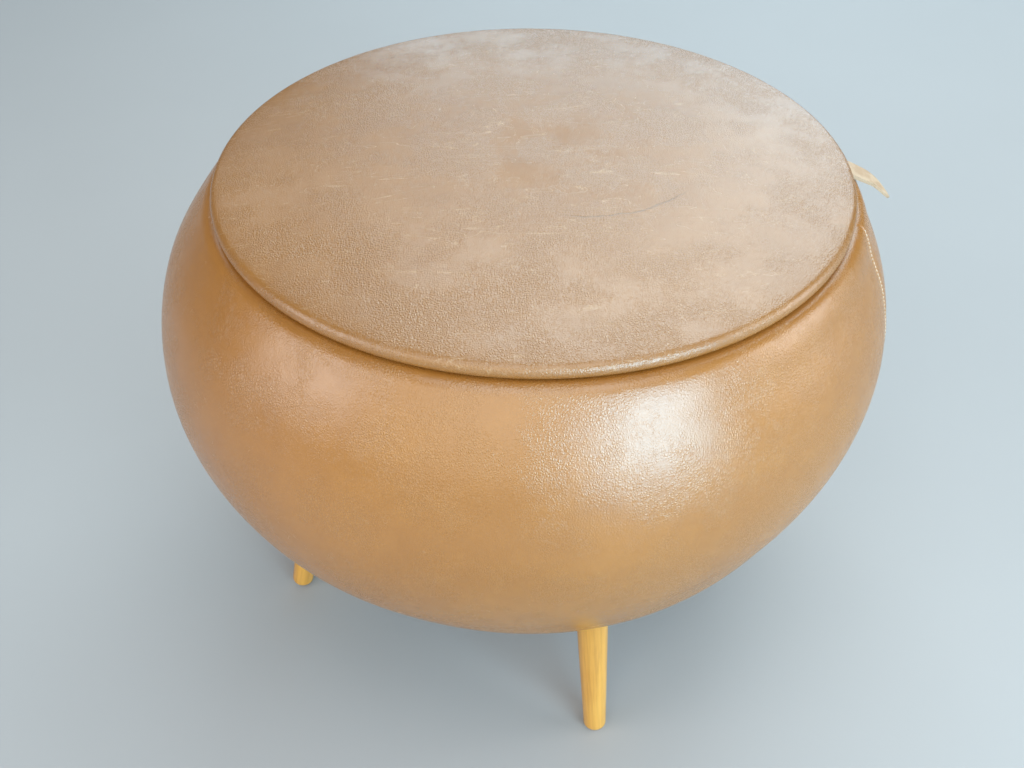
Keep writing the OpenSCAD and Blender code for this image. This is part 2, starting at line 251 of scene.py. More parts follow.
class Graph:
    # a thin hand for building a node tree from left to right
    def __init__(self, tree):
        self.tree = tree
        self.column = 0

    def node(self, kind, inputs=None, **values):
        n = self.tree.nodes.new(kind)
        n.location = (self.column * 190, -(self.column % 5) * 160)
        self.column += 1
        for key, value in values.items():
            setattr(n, key, value)
        for key, value in (inputs or {}).items():
            self.feed(n.inputs[key], value)
        return n

    def feed(self, socket, value):
        if isinstance(value, bpy.types.NodeSocket):
            self.tree.links.new(value, socket)
        elif value is not None:
            socket.default_value = value

    def math(self, operation, a, b=None):
        n = self.node("ShaderNodeMath", operation=operation)
        for socket, value in zip(n.inputs, (a, b)):
            self.feed(socket, value)
        return n.outputs[0]

    def ramp(self, value, low, high, fromLow=0.0, fromHigh=1.0):
        n = self.node("ShaderNodeMapRange", clamp=True, interpolation_type="SMOOTHSTEP")
        for key, v in zip(("Value", "From Min", "From Max", "To Min", "To Max"),
                          (value, fromLow, fromHigh, low, high)):
            self.feed(n.inputs[key], v)
        return n.outputs["Result"]

    def mix(self, factor, a, b):
        n = self.node("ShaderNodeMix", data_type="RGBA")
        self.feed(n.inputs[0], factor)
        self.feed(n.inputs[6], a)
        self.feed(n.inputs[7], b)
        return n.outputs[2]

    def noise(self, vector, scale, detail=3.0, rough=0.5, distortion=0.0):
        n = self.node("ShaderNodeTexNoise", {"Vector": vector, "Scale": scale, "Detail": detail,
                                             "Roughness": rough, "Distortion": distortion})
        return n.outputs["Fac"]

    def place(self, vector, scale=(1, 1, 1), turn=(0, 0, 0), shift=(0, 0, 0)):
        n = self.node("ShaderNodeMapping", {"Vector": vector, "Location": shift, "Rotation": turn,
                                            "Scale": scale})
        return n.outputs["Vector"]

    def group(self, tree, inputs=None):
        n = self.node("ShaderNodeGroup")
        n.node_tree = tree
        for key, value in (inputs or {}).items():
            self.feed(n.inputs[key], value)
        return n


def newGroup(name, inputs, outputs):
    tree = bpy.data.node_groups.new(name, "ShaderNodeTree")
    for key, kind, value in inputs:
        socket = tree.interface.new_socket(key, in_out="INPUT", socket_type="NodeSocket" + kind)
        if value is not None:
            socket.default_value = value
    for key, kind in outputs:
        tree.interface.new_socket(key, in_out="OUTPUT", socket_type="NodeSocket" + kind)
    g = Graph(tree)
    start = tree.nodes.new("NodeGroupInput")
    end = tree.nodes.new("NodeGroupOutput")
    return g, start.outputs, end.inputs


def leatherGrainGroup():
    # pebbles, the creases between them and the fine pores
    g, given, out = newGroup("LeatherGrain",
                             [("Vector", "Vector", None), ("Pebbles per metre", "Float", 620.0),
                              ("Drawn", "Float", 0.5)],
                             [("Height", "Float"), ("Crease", "Float"), ("Rub", "Float")])
    wobble = g.node("ShaderNodeTexNoise", {"Vector": given["Vector"], "Scale": 240.0, "Detail": 2.0})
    offset = g.node("ShaderNodeVectorMath", {0: wobble.outputs["Color"], 1: (0.5, 0.5, 0.5)},
                    operation="SUBTRACT")
    shift = g.node("ShaderNodeVectorMath", {0: offset.outputs[0]}, operation="SCALE")
    shift.inputs["Scale"].default_value = 0.0022
    where = g.node("ShaderNodeVectorMath", {0: given["Vector"], 1: shift.outputs[0]}, operation="ADD")
    pebbles = g.node("ShaderNodeTexVoronoi", {"Vector": where.outputs[0], "Scale": given["Pebbles per metre"],
                                              "Randomness": 1.0}, feature="DISTANCE_TO_EDGE")
    dome = g.ramp(pebbles.outputs["Distance"], 0.0, 1.0, 0.0, 0.32)
    pores = g.noise(where.outputs[0], 2600.0, 2.0, 0.6)
    patches = g.noise(given["Vector"], 26.0, 3.0, 0.55)
    strength = g.ramp(patches, 0.35, 1.0, 0.34, 0.66)
    deep = g.math("MULTIPLY", dome, strength)
    fine = g.math("MULTIPLY", pores, 0.35)
    g.feed(out["Height"], g.math("ADD", deep, fine))
    crease = g.math("SUBTRACT", 1.0, dome)
    g.feed(out["Crease"], g.math("MULTIPLY", crease, strength))
    rub = g.math("MULTIPLY", g.ramp(patches, 0.0, 1.0, 0.45, 0.7), given["Drawn"])
    g.feed(out["Rub"], rub)
    return g.tree


def mottleGroup():
    # clouding of the dye, large and small, with a sprinkle of dark pores and pale nicks
    g, given, out = newGroup("DyeMottle",
                             [("Vector", "Vector", None), ("Cloud size", "Float", 7.0)],
                             [("Cloud", "Float"), ("Fleck", "Float"), ("Nick", "Float")])
    clouds = g.noise(given["Vector"], given["Cloud size"], 5.0, 0.58, 0.35)
    middle = g.noise(given["Vector"], 46.0, 4.0, 0.6, 0.2)
    both = g.math("ADD", g.math("MULTIPLY", clouds, 0.68), g.math("MULTIPLY", middle, 0.32))
    g.feed(out["Cloud"], g.ramp(both, 0.0, 1.0, 0.36, 0.64))
    specks = g.noise(given["Vector"], 420.0, 2.0, 0.7)
    g.feed(out["Fleck"], g.ramp(specks, 0.0, 1.0, 0.60, 0.74))
    spots = g.node("ShaderNodeTexVoronoi", {"Vector": given["Vector"], "Scale": 34.0, "Randomness": 1.0})
    wide = g.noise(given["Vector"], 900.0, 1.0, 0.5)
    reach = g.math("ADD", spots.outputs["Distance"], g.math("MULTIPLY", wide, 0.06))
    small = g.ramp(reach, 1.0, 0.0, 0.036, 0.058)
    lucky = g.math("GREATER_THAN", g.node("ShaderNodeSeparateColor", {0: spots.outputs["Color"]}).outputs[0],
                   0.80)
    g.feed(out["Nick"], g.math("MULTIPLY", small, lucky))
    return g.tree


def hairlineGroup():
    # fine curving scratches: thin level lines of a stretched noise, broken up by another
    g, given, out = newGroup("Hairlines",
                             [("Vector", "Vector", None), ("Stretch", "Vector", (14.0, 46.0, 46.0)),
                              ("Width", "Float", 0.006), ("Amount", "Float", 0.5),
                              ("Shift", "Vector", (0, 0, 0))],
                             [("Line", "Float")])
    moved = g.node("ShaderNodeVectorMath", {0: given["Vector"], 1: given["Shift"]}, operation="ADD")
    bent = g.node("ShaderNodeVectorMath", {0: moved.outputs[0], 1: given["Stretch"]}, operation="MULTIPLY")
    level = g.noise(bent.outputs[0], 1.0, 3.0, 0.62, 0.9)
    off = g.math("ABSOLUTE", g.math("SUBTRACT", level, 0.5))
    line = g.ramp(g.math("DIVIDE", off, given["Width"]), 1.0, 0.0, 0.0, 1.0)
    breaks = g.noise(moved.outputs[0], 52.0, 2.0, 0.5)
    gate = g.math("SUBTRACT", 1.0, given["Amount"])
    shown = g.ramp(g.math("SUBTRACT", breaks, g.math("MULTIPLY", gate, 0.62)), 0.0, 1.0, 0.0, 0.14)
    g.feed(out["Line"], g.math("MULTIPLY", line, shown))
    return g.tree


def weaveGroup():
    # plain weave: threads over and under, with slubs
    g, given, out = newGroup("PlainWeave",
                             [("Vector", "Vector", None), ("Threads per metre", "Float", 900.0)],
                             [("Height", "Float"), ("Thread", "Float"), ("Slub", "Float")])
    scaled = g.node("ShaderNodeVectorMath", {0: given["Vector"]}, operation="SCALE")
    g.feed(scaled.inputs["Scale"], g.math("MULTIPLY", given["Threads per metre"], math.pi))
    parts = g.node("ShaderNodeSeparateXYZ", {0: scaled.outputs[0]})
    sx, sy = g.math("SINE", parts.outputs["X"]), g.math("SINE", parts.outputs["Y"])
    over = g.math("MULTIPLY", sx, sy)
    warp = g.math("MULTIPLY", g.math("ABSOLUTE", sx), g.ramp(over, 0.35, 1.0, -0.4, 0.4))
    weft = g.math("MULTIPLY", g.math("ABSOLUTE", sy), g.ramp(over, 1.0, 0.35, -0.4, 0.4))
    top = g.math("MAXIMUM", warp, weft)
    slub = g.noise(given["Vector"], 70.0, 3.0, 0.6)
    g.feed(out["Height"], g.math("ADD", top, g.math("MULTIPLY", slub, 0.3)))
    g.feed(out["Thread"], g.ramp(over, 0.0, 1.0, -0.3, 0.3))
    g.feed(out["Slub"], slub)
    return g.tree


def fibreGroup():
    # wood or felt: fibres drawn out along one axis of the vector
    g, given, out = newGroup("DrawnFibre",
                             [("Vector", "Vector", None), ("Across", "Float", 420.0),
                              ("Along", "Float", 9.0)],
                             [("Ring", "Float"), ("Pore", "Float"), ("Tone", "Float")])
    squeeze = g.node("ShaderNodeCombineXYZ", {0: given["Across"], 1: given["Across"], 2: given["Along"]})
    drawn = g.node("ShaderNodeVectorMath", {0: given["Vector"], 1: squeeze.outputs[0]}, operation="MULTIPLY")
    pores = g.noise(drawn.outputs[0], 1.0, 4.0, 0.65)
    g.feed(out["Pore"], g.ramp(pores, 0.0, 1.0, 0.40, 0.72))
    broad = g.node("ShaderNodeVectorMath", {0: drawn.outputs[0]}, operation="SCALE")
    broad.inputs["Scale"].default_value = 0.22
    g.feed(out["Ring"], g.ramp(g.noise(broad.outputs[0], 1.0, 3.0, 0.5, 0.6), 0.0, 1.0, 0.3, 0.7))
    g.feed(out["Tone"], g.noise(given["Vector"], 11.0, 3.0, 0.5))
    return g.tree


leatherGrain = leatherGrainGroup()
dyeMottle = mottleGroup()
hairlines = hairlineGroup()
plainWeave = weaveGroup()
drawnFibre = fibreGroup()
print("shader groups ready")


# materials

def colour(r, g, b):
    return (r, g, b, 1.0)


def newMaterial(name, **principled):
    mat = bpy.data.materials.new(name)
    mat.use_nodes = True
    g = Graph(mat.node_tree)
    shader = mat.node_tree.nodes["Principled BSDF"]
    for key, value in principled.items():
        shader.inputs[key.replace("_", " ")].default_value = value
    where = g.node("ShaderNodeTexCoord").outputs["Object"]
    mat.diffuse_color = shader.inputs["Base Color"].default_value
    return mat, g, shader, where


def bump(g, shader, height, strength, distance, under=None):
    n = g.node("ShaderNodeBump", {"Height": height, "Strength": strength, "Distance": distance})
    if under is not None:
        g.feed(n.inputs["Normal"], under)
    g.feed(shader.inputs["Normal"], n.outputs["Normal"])
    return n.outputs["Normal"]


hideLook = {
    "deep": colour(0.376, 0.150, 0.024),
    "mid": colour(0.446, 0.186, 0.032),
    "pale": colour(0.52, 0.28, 0.10),
    "scratch": colour(0.70, 0.48, 0.27),
    # painted shade on the lid: a greyed tone over the whole top, and a dark tone along its crease
    "greyedAndShaded": colour(0.20, 0.118, 0.055),
    "folded": colour(0.16, 0.07, 0.02),
    "roughness": (0.225, 0.245),
    "pebbles": 520.0,
    "cloudSize": 7.0,
    "rub": 0.16,            # how much each of these shows, 0 to 1
    # painted shade: how dark the creases between the pebbles are made
    "creaseShade": 0.8,
    "nick": 0.6,
    "swell": (0.12, 1.0 * mm),
    "grainDepth": 0.4 * mm,
}
bodyWear = {
    "fleck": 0.14,
    "scratched": 0.32,
    "grain": 0.36,
    # sets of hairlines: stretch, width, amount, shift, weight
    "hairlines": (((30.0, 30.0, 42.0), 0.004, 0.26, (0.0, 0.0, 0.0), 0.55),),
}
# the lid's wear and its painted shade: the greyed tone darkens the whole top, and the crease is darkened
# along its groove
lidWearAndShade = {
    "fleck": 0.3,
    "scratched": 0.50,
    "grain": 0.44,
    "hairlines": (((9.0, 44.0, 36.0), 0.006, 0.72, (0.0, 0.0, 0.0), 1.4),
                  ((46.0, 27.0, 30.0), 0.005, 0.40, (3.1, 1.7, 0.4), 1.12)),
    "greyedAndShaded": 0.24,
    # the scratches thin out between these distances from the floor's middle
    "scratchFade": (0.40, 0.50, 0.35),
    # one old crease, dented and darkened along its groove with painted shade: middle and radius of its arc,
    # where it ends, how it fades, wanders and shows
    "fold": {"middle": (30.6 * mm, 0.1 * mm), "radius": 105.8 * mm, "ends": (-104.0, -38.0),
             "width": 1.1 * mm, "fade": 0.25, "wander": 6 * mm, "tone": 0.55, "depth": 1.4},
}


def foldMask(g, where, fold):
    # 1 along an arc that is drawn in plan, down to 0 beside it and at its ends
    at = g.place(where, shift=(-fold["middle"][0], -fold["middle"][1], 0))
    parts = g.node("ShaderNodeSeparateXYZ", {0: at})
    flat = g.node("ShaderNodeCombineXYZ", {0: parts.outputs["X"], 1: parts.outputs["Y"]})
    reach = g.node("ShaderNodeVectorMath", {0: flat.outputs[0]}, operation="LENGTH").outputs["Value"]
    wander = g.math("MULTIPLY", g.math("SUBTRACT", g.noise(where, 70.0, 2.0), 0.5), fold["wander"])
    off = g.math("ABSOLUTE", g.math("SUBTRACT", g.math("ADD", reach, wander), fold["radius"]))
    turn = g.math("ARCTAN2", parts.outputs["Y"], parts.outputs["X"])
    start, end = (math.radians(v) for v in fold["ends"])
    shown = g.math("MULTIPLY", g.ramp(turn, 0.0, 1.0, start, start + fold["fade"]),
                   g.ramp(turn, 1.0, 0.0, end - fold["fade"], end))
    return g.math("MULTIPLY", g.ramp(off, 1.0, 0.0, 0.0, fold["width"]), shown)


def hideMaterial(name, look, wearAndShade):
    mat, g, shader, where = newMaterial(name, Specular_IOR_Level=0.92, IOR=1.63)
    grain = g.group(leatherGrain, {"Vector": where, "Pebbles per metre": look["pebbles"], "Drawn": 1.0})
    dye = g.group(dyeMottle, {"Vector": where, "Cloud size": look["cloudSize"]})
    tone = g.mix(dye.outputs["Cloud"], look["deep"], look["mid"])
    tone = g.mix(g.math("MULTIPLY", grain.outputs["Rub"], look["rub"]), tone, look["pale"])
    # painted shade: the hide is darkened in the creases between the pebbles
    tone = g.mix(g.math("MULTIPLY", grain.outputs["Crease"], look["creaseShade"]), tone, look["deep"])
    tone = g.mix(g.math("MULTIPLY", dye.outputs["Fleck"], wearAndShade["fleck"]), tone, look["deep"])
    lines = 0.0
    for stretch, width, amount, shift, weight in wearAndShade["hairlines"]:
        one = g.group(hairlines, {"Vector": where, "Stretch": stretch, "Width": width, "Amount": amount,
                                  "Shift": shift})
        lines = g.math("MAXIMUM", lines, g.math("MULTIPLY", one.outputs["Line"], weight))
    fold = wearAndShade.get("fold")
    if fold:
        # partly painted shade: the whole lid top is made darker and greyer than the same hide on the body, as
        # wear and as shade of how the top takes the light
        tone = g.mix(wearAndShade["greyedAndShaded"], tone, look["greyedAndShaded"])
        inner = g.node("ShaderNodeVectorMath", {0: where}, operation="LENGTH").outputs["Value"]
        near, far, least = wearAndShade["scratchFade"]
        lines = g.math("MULTIPLY", lines, g.ramp(inner, 1.0, least, near, far))
        folded = foldMask(g, where, fold)
        # painted shade along the old crease: the hide is darkened in its groove, which the bump dents further
        # down
        tone = g.mix(g.math("MULTIPLY", folded, fold["tone"]), tone, look["folded"])
    marks = g.math("MAXIMUM", g.math("MULTIPLY", lines, wearAndShade["scratched"]),
                   g.math("MULTIPLY", dye.outputs["Nick"], look["nick"]))
    g.feed(shader.inputs["Base Color"], g.mix(marks, tone, look["scratch"]))
    low, high = look["roughness"]
    rough = g.ramp(dye.outputs["Cloud"], high, low)
    rough = g.math("ADD", rough, g.math("MULTIPLY", grain.outputs["Crease"], 0.06))
    rough = g.math("ADD", rough, g.math("MULTIPLY", marks, 0.12))
    g.feed(shader.inputs["Roughness"], rough)
    strength, depth = look["swell"]
    swell = g.node("ShaderNodeBump", {"Height": g.noise(where, 120.0, 3.0, 0.55), "Strength": strength,
                                      "Distance": depth}).outputs["Normal"]
    height = g.math("SUBTRACT", grain.outputs["Height"], g.math("MULTIPLY", lines, 0.35))
    if fold:
        height = g.math("SUBTRACT", height, g.math("MULTIPLY", folded, fold["depth"]))
    bump(g, shader, height, wearAndShade["grain"], look["grainDepth"], swell)
    return mat


def rawHideMaterial():
    # undyed vegetable-tanned leather, paler where it was cut
    mat, g, shader, where = newMaterial("undyedLeather", Specular_IOR_Level=0.4)
    edge = g.node("ShaderNodeAttribute", attribute_name="cutEdge").outputs["Fac"]
    cloud = g.noise(where, 90.0, 4.0, 0.6)
    tone = g.mix(g.ramp(cloud, 0.0, 1.0, 0.35, 0.65), colour(0.54, 0.36, 0.22), colour(0.66, 0.49, 0.33))
    fibre = g.noise(g.place(where, (900.0, 900.0, 2600.0)), 1.0, 2.0, 0.6)
    cut = g.mix(g.ramp(fibre, 0.0, 1.0, 0.3, 0.7), colour(0.50, 0.36, 0.24), colour(0.62, 0.48, 0.33))
    g.feed(shader.inputs["Base Color"], g.mix(edge, tone, cut))
    g.feed(shader.inputs["Roughness"], g.ramp(cloud, 0.5, 0.66))
    grain = g.group(leatherGrain, {"Vector": where, "Pebbles per metre": 1300.0})
    bump(g, shader, g.math("ADD", grain.outputs["Height"], g.math("MULTIPLY", fibre, edge)), 0.3, 0.0002)
    return mat


def legMaterial():
    mat, g, shader, where = newMaterial("lacqueredBeech", Specular_IOR_Level=0.5)
    grown = g.node("ShaderNodeAttribute", attribute_name="legGrain").outputs["Vector"]
    wood = g.group(drawnFibre, {"Vector": grown, "Across": 520.0, "Along": 14.0})
    tone = g.mix(wood.outputs["Ring"], colour(0.56, 0.25, 0.040), colour(0.77, 0.39, 0.070))
    tone = g.mix(g.math("MULTIPLY", wood.outputs["Pore"], 0.5), tone, colour(0.38, 0.145, 0.022))
    tone = g.mix(g.ramp(wood.outputs["Tone"], 0.0, 0.35, 0.35, 0.7), tone, colour(0.84, 0.47, 0.10))
    g.feed(shader.inputs["Base Color"], tone)
    g.feed(shader.inputs["Roughness"], g.ramp(wood.outputs["Pore"], 0.30, 0.42))
    shader.inputs["Coat Weight"].default_value = 0.35
    shader.inputs["Coat Roughness"].default_value = 0.18
    bump(g, shader, wood.outputs["Pore"], 0.18, 0.0002)
    return mat


def plyMaterial():
    # birch plywood: face grain on the flats, stacked layers on the edges
    mat, g, shader, where = newMaterial("birchPly")
    face = g.group(drawnFibre, {"Vector": g.place(where, turn=(0, math.pi / 2, 0.3)), "Across": 260.0,
                                "Along": 7.0})
    parts = g.node("ShaderNodeSeparateXYZ", {0: where})
    layer = g.math("SINE", g.math("MULTIPLY", parts.outputs["Z"], 2 * math.pi / 0.0028))
    normal = g.node("ShaderNodeSeparateXYZ", {0: g.node("ShaderNodeNewGeometry").outputs["Normal"]})
    side = g.ramp(g.math("ABSOLUTE", normal.outputs["Z"]), 1.0, 0.0, 0.3, 0.6)
    tone = g.mix(face.outputs["Ring"], colour(0.62, 0.45, 0.27), colour(0.74, 0.58, 0.38))
    tone = g.mix(g.math("MULTIPLY", face.outputs["Pore"], 0.4), tone, colour(0.45, 0.30, 0.16))
    edges = g.mix(g.ramp(layer, 0.0, 1.0, -0.2, 0.2), colour(0.40, 0.26, 0.14), colour(0.70, 0.53, 0.34))
    g.feed(shader.inputs["Base Color"], g.mix(side, tone, edges))
    g.feed(shader.inputs["Roughness"], g.ramp(face.outputs["Pore"], 0.55, 0.75))
    bump(g, shader, g.math("ADD", face.outputs["Pore"], g.math("MULTIPLY", layer, side)), 0.25, 0.0003)
    return mat


def fleckedMaterial(name, dark, light, scale, roughness, depth, drawn=(1, 1, 1)):
    # card, fibreboard, foam, wadding or felt: a soft flecked ground
    mat, g, shader, where = newMaterial(name, Specular_IOR_Level=0.25)
    at = g.place(where, drawn)
    fine = g.noise(at, scale, 4.0, 0.7)
    broad = g.noise(where, 22.0, 3.0, 0.5)
    both = g.math("ADD", g.math("MULTIPLY", fine, 0.7), g.math("MULTIPLY", broad, 0.3))
    g.feed(shader.inputs["Base Color"], g.mix(g.ramp(both, 0.0, 1.0, 0.38, 0.62), dark, light))
    g.feed(shader.inputs["Roughness"], g.ramp(fine, roughness, min(roughness + 0.12, 1.0)))
    bump(g, shader, fine, 0.5, depth)
    return mat


def clothMaterial(name, dark, light, threads, roughness=0.9, depth=0.0003):
    # woven cloth, its threads laid out by the piece's own map
    mat, g, shader, where = newMaterial(name, Specular_IOR_Level=0.2)
    laid = g.node("ShaderNodeAttribute", attribute_name="clothMap").outputs["Vector"]
    weave = g.group(plainWeave, {"Vector": laid, "Threads per metre": threads})
    tone = g.mix(weave.outputs["Thread"], dark, light)
    tone = g.mix(g.ramp(weave.outputs["Slub"], 0.0, 0.5, 0.4, 0.75), tone, light)
    g.feed(shader.inputs["Base Color"], tone)
    g.feed(shader.inputs["Roughness"], g.ramp(weave.outputs["Slub"], roughness - 0.08, roughness))
    bump(g, shader, weave.outputs["Height"], 0.6, depth)
    return mat


def zincMaterial():
    mat, g, shader, where = newMaterial("zincPlate", Metallic=1.0)
    spangle = g.node("ShaderNodeTexVoronoi", {"Vector": where, "Scale": 900.0}).outputs["Color"]
    value = g.node("ShaderNodeSeparateColor", {0: spangle}).outputs[0]
    g.feed(shader.inputs["Base Color"], g.mix(value, colour(0.55, 0.56, 0.58), colour(0.74, 0.75, 0.76)))
    g.feed(shader.inputs["Roughness"], g.ramp(value, 0.24, 0.42))
    bump(g, shader, g.noise(where, 1800.0, 2.0), 0.15, 0.0001)
    return mat


def nylonMaterial():
    mat, g, shader, where = newMaterial("brownNylon")
    scuff = g.noise(where, 600.0, 3.0, 0.6)
    g.feed(shader.inputs["Base Color"], g.mix(scuff, colour(0.20, 0.12, 0.06), colour(0.30, 0.19, 0.10)))
    g.feed(shader.inputs["Roughness"], g.ramp(scuff, 0.35, 0.6))
    bump(g, shader, scuff, 0.2, 0.0002)
    return mat


def threadMaterial():
    # pale waxed thread; its strands wind round each stitch
    mat, g, shader, where = newMaterial("waxedThread", Specular_IOR_Level=0.4)
    strand = g.noise(where, 2200.0, 2.0, 0.6)
    g.feed(shader.inputs["Base Color"], g.mix(g.ramp(strand, 0.0, 1.0, 0.35, 0.65),
                                              colour(0.80, 0.74, 0.62), colour(0.92, 0.88, 0.78)))
    g.feed(shader.inputs["Roughness"], g.ramp(strand, 0.55, 0.7))
    bump(g, shader, strand, 0.4, 0.0002)
    return mat


bodyHide = hideMaterial("caramelHide", hideLook, bodyWear)
lidHideShaded = hideMaterial("caramelHideTopShaded", hideLook, lidWearAndShade)
rawHide = rawHideMaterial()
beech = legMaterial()
birchPly = plyMaterial()
# dark and light of the ground, flecks per metre, roughness, depth of the flecks
fleckedLooks = {
    "fibreDrum": (colour(0.26, 0.17, 0.09), colour(0.42, 0.30, 0.18), 500.0, 0.75, 0.3 * mm),
    "seatFoam": (colour(0.62, 0.52, 0.28), colour(0.82, 0.74, 0.50), 900.0, 0.85, 0.8 * mm),
    "woolWadding": (colour(0.68, 0.67, 0.63), colour(0.88, 0.87, 0.84), 340.0, 0.9, 1.0 * mm, (1, 1, 3)),
    "greyFelt": (colour(0.30, 0.30, 0.29), colour(0.52, 0.52, 0.50), 800.0, 0.88, 0.6 * mm),
    "greyCard": (colour(0.34, 0.27, 0.18), colour(0.50, 0.42, 0.30), 700.0, 0.8, 0.2 * mm),
}
drumFibre, seatFoam, wool, felt, card = (fleckedMaterial(name, *look) for name, look in fleckedLooks.items())
liningCloth = clothMaterial("liningTwill", colour(0.075, 0.055, 0.042), colour(0.15, 0.115, 0.09), 520.0)
cambric = clothMaterial("blackCambric", colour(0.010, 0.010, 0.011), colour(0.030, 0.030, 0.033), 420.0)
zinc = zincMaterial()
nylon = nylonMaterial()
thread = threadMaterial()
print("materials ready")


# the padded body: one skin surface that every layer under it is set back from

def uneven(z, falloff=(0.060, 0.045)):
    # 1 round the belly, fading to 0 where the skin is held at the bottom and at the rim
    low = min(max((z - coverBox["bottom"]) / falloff[0], 0), 1)
    high = min(max((coverBox["top"] - z) / falloff[1], 0), 1)
    return low * low * (3 - 2 * low) * high * high * (3 - 2 * high)


def settle(points):
    # lean and tilt an array of skin points
    out = points.copy()
    turn = math.radians(bodyShape["tiltDirection"])
    for p in out.reshape(-1, 3):
        k = uneven(p[2])
        along = p[0] * math.cos(turn) + p[1] * math.sin(turn)
        rise = p[2] - bodyShape["widest"]
        p[0] += k * (bodyShape["lean"][0] - bodyShape["tilt"] * rise * math.cos(turn))
        p[1] += k * (bodyShape["lean"][1] - bodyShape["tilt"] * rise * math.sin(turn))
        p[2] += k * bodyShape["tilt"] * along
    return out


def skinProfile(steps):
    # the outside of the cover from the bottom corner to the flat of the rim
    bottom, top, run = coverBox["bottom"], coverBox["top"], bodyShape["bottomRun"]
    start = bellyRadius(bottom)
    rows = [(start - run, bottom)]
    rows += bend((start - run, bottom), (start, bottom), (bellyRadius(bottom + run), bottom + run), 4)
    heights = np.linspace(bottom + run, ringBox["top"], steps + 1)[1:]
    rows += [(bellyRadius(z), z) for z in heights]
    last, edge = rows[-1], (bellyRadius(top), top)
    rows += bend(last, edge, (edge[0] - bodyShape["shoulderRun"], top), 6)
    return rows


skinRows = skinProfile(44)
skinZ = np.array([z for r, z in skinRows])

bodyPuff = {
    "angles": 96,
    "quality": 6,
    "mass": 0.35,
    "tension": 35.0,
    "shear": 20.0,
    "bending": 6.0,
    "pressure": 5.0,
    "frames": 18,
    "cap": 4.5 * mm,
    "level": 50,
    # slow waves in the wadding underneath: (wavelength, height)
    "waves": ((0.160, 0.8 * mm), (0.080, 0.28 * mm), (0.036, 0.05 * mm)),
}


def waves(p, settings, seed=0.0):
    total = 0.0
    for n, (length, height) in enumerate(settings):
        total += height * noise.noise(Vector(p) / length + Vector((seed + 7.3 * n, 2.1 * seed, 0.7)))
    return total


# the whole skin as an even grid: angles round, rows up
skinEven = settle(turned(skinRows, fullTurn(bodyPuff["angles"])))
heldRows = np.zeros(skinEven.shape[:2])
heldRows[:, :2] = 1.0
heldRows[:, -4:] = 1.0
bodyPush = clothBulge("bodySkinPuff", skinEven, heldRows, bodyPuff)
ease = np.clip(np.minimum((skinZ - skinZ[0]) / 0.04, (skinZ[-1] - skinZ) / 0.03), 0, 1)
bodyPush *= ease * ease * (3 - 2 * ease)
print("body cover blown out by", np.round(bodyPush.min() / mm, 2), "to", np.round(bodyPush.max() / mm, 2))

seamShape = {
    "lap": 1.1 * mm,        # the folded edge of the front panel stands this proud
    "lapWidth": 3.2 * mm,
    "pull": 0.8 * mm,       # how far the stitching draws the leather in
    "stitchInset": 3.4 * mm,
    "pucker": 0.2 * mm,
    "puckerPitch": 3.6 * mm,
    "puckerWidth": 2.5 * mm,
    "pullWidth": 6 * mm,
    "groove": 0.5 * mm,     # the line between the two panels
    "grooveWidth": 0.9 * mm,
    "reach": 30 * mm,       # the skin is plain beyond this
}


def seamDistance(angle, z):
    # along the skin, from the nearer seam; positive on the front panel
    first, second = bodyShape["seams"]
    a = (angle - first) % 360
    offset = a if a < 90 else (180 - a if a < 270 else a - 360)
    return -math.radians(offset) * bellyRadius(min(max(z, skinZ[0]), skinZ[-1] - 0.1 * mm))


def skinGrid(angles):
    # skin points and normals at any angles, with the puff, the waves and the seams
    base = settle(turned(skinRows, angles))
    out = base.copy()
    normals = np.zeros_like(base)
    wide = settle(turned(skinRows, [a - 0.5 for a in angles]))
    for i, angle in enumerate(angles):
        at = (angle % 360) / 360 * bodyPuff["angles"]
        lo, t = int(at) % bodyPuff["angles"], at - int(at)
        push = bodyPush[lo] * (1 - t) + bodyPush[(lo + 1) % bodyPuff["angles"]] * t
        for j, p in enumerate(base[i]):
            around = Vector(wide[i, j]) - Vector(base[i, j])
            k, m = max(j - 1, 0), min(j + 1, len(skinRows) - 1)
            n = Vector(base[i, m] - base[i, k]).cross(around).normalized()
            level = abs(n.z) >= 0.95
            if (n.z * (p[2] - bodyShape["widest"]) if level else n.dot(Vector((p[0], p[1], 0)))) < 0:
                n = -n
            normals[i, j] = n
            hold = uneven(skinZ[j], (0.03, 0.02))
            away = seamDistance(angle, skinZ[j])
            lift = push[j] + hold * waves(p, bodyPuff["waves"])
            s = seamShape
            if abs(away) < s["reach"]:
                drawn = math.exp(-((abs(away) - s["stitchInset"] * (away > 0)) / s["pullWidth"]) ** 2)
                lift -= s["pull"] * drawn * hold
                if away > 0:
                    lift += s["lap"] * math.exp(-(away / s["lapWidth"]) ** 4)
                    beat = math.cos(skinZ[j] * math.pi / s["puckerPitch"])
                    beside = math.exp(-((away - s["stitchInset"]) / s["puckerWidth"]) ** 2)
                    lift += s["pucker"] * beat * beside * hold
                lift -= s["groove"] * math.exp(-(away / s["grooveWidth"]) ** 2)
            out[i, j] = p + np.array(n) * lift
    return out, normals


def closedPair(cells, count):
    # faces of a skin, of its twin count points further on, and of the strip along every free edge
    free = {}
    for cell in cells:
        for a, b in zip(cell, cell[1:] + cell[:1]):
            if (b, a) in free:
                del free[(b, a)]
            else:
                free[(a, b)] = True
    twins = [tuple(v + count for v in reversed(c)) for c in cells]
    return cells + twins + [(b, a, a + count, b + count) for a, b in free]


def shellMesh(name, outer, inner, ring, openCells=()):
    # an outer and an inner skin joined along every free edge
    cells = [cell for place, cell in gridCells(outer, ring).items() if place not in openCells]
    points = np.concatenate([outer.reshape(-1, 3), inner.reshape(-1, 3)])
    return mergeAndTurnOut(makeMesh(name, points, closedPair(cells, len(points) // 2)))


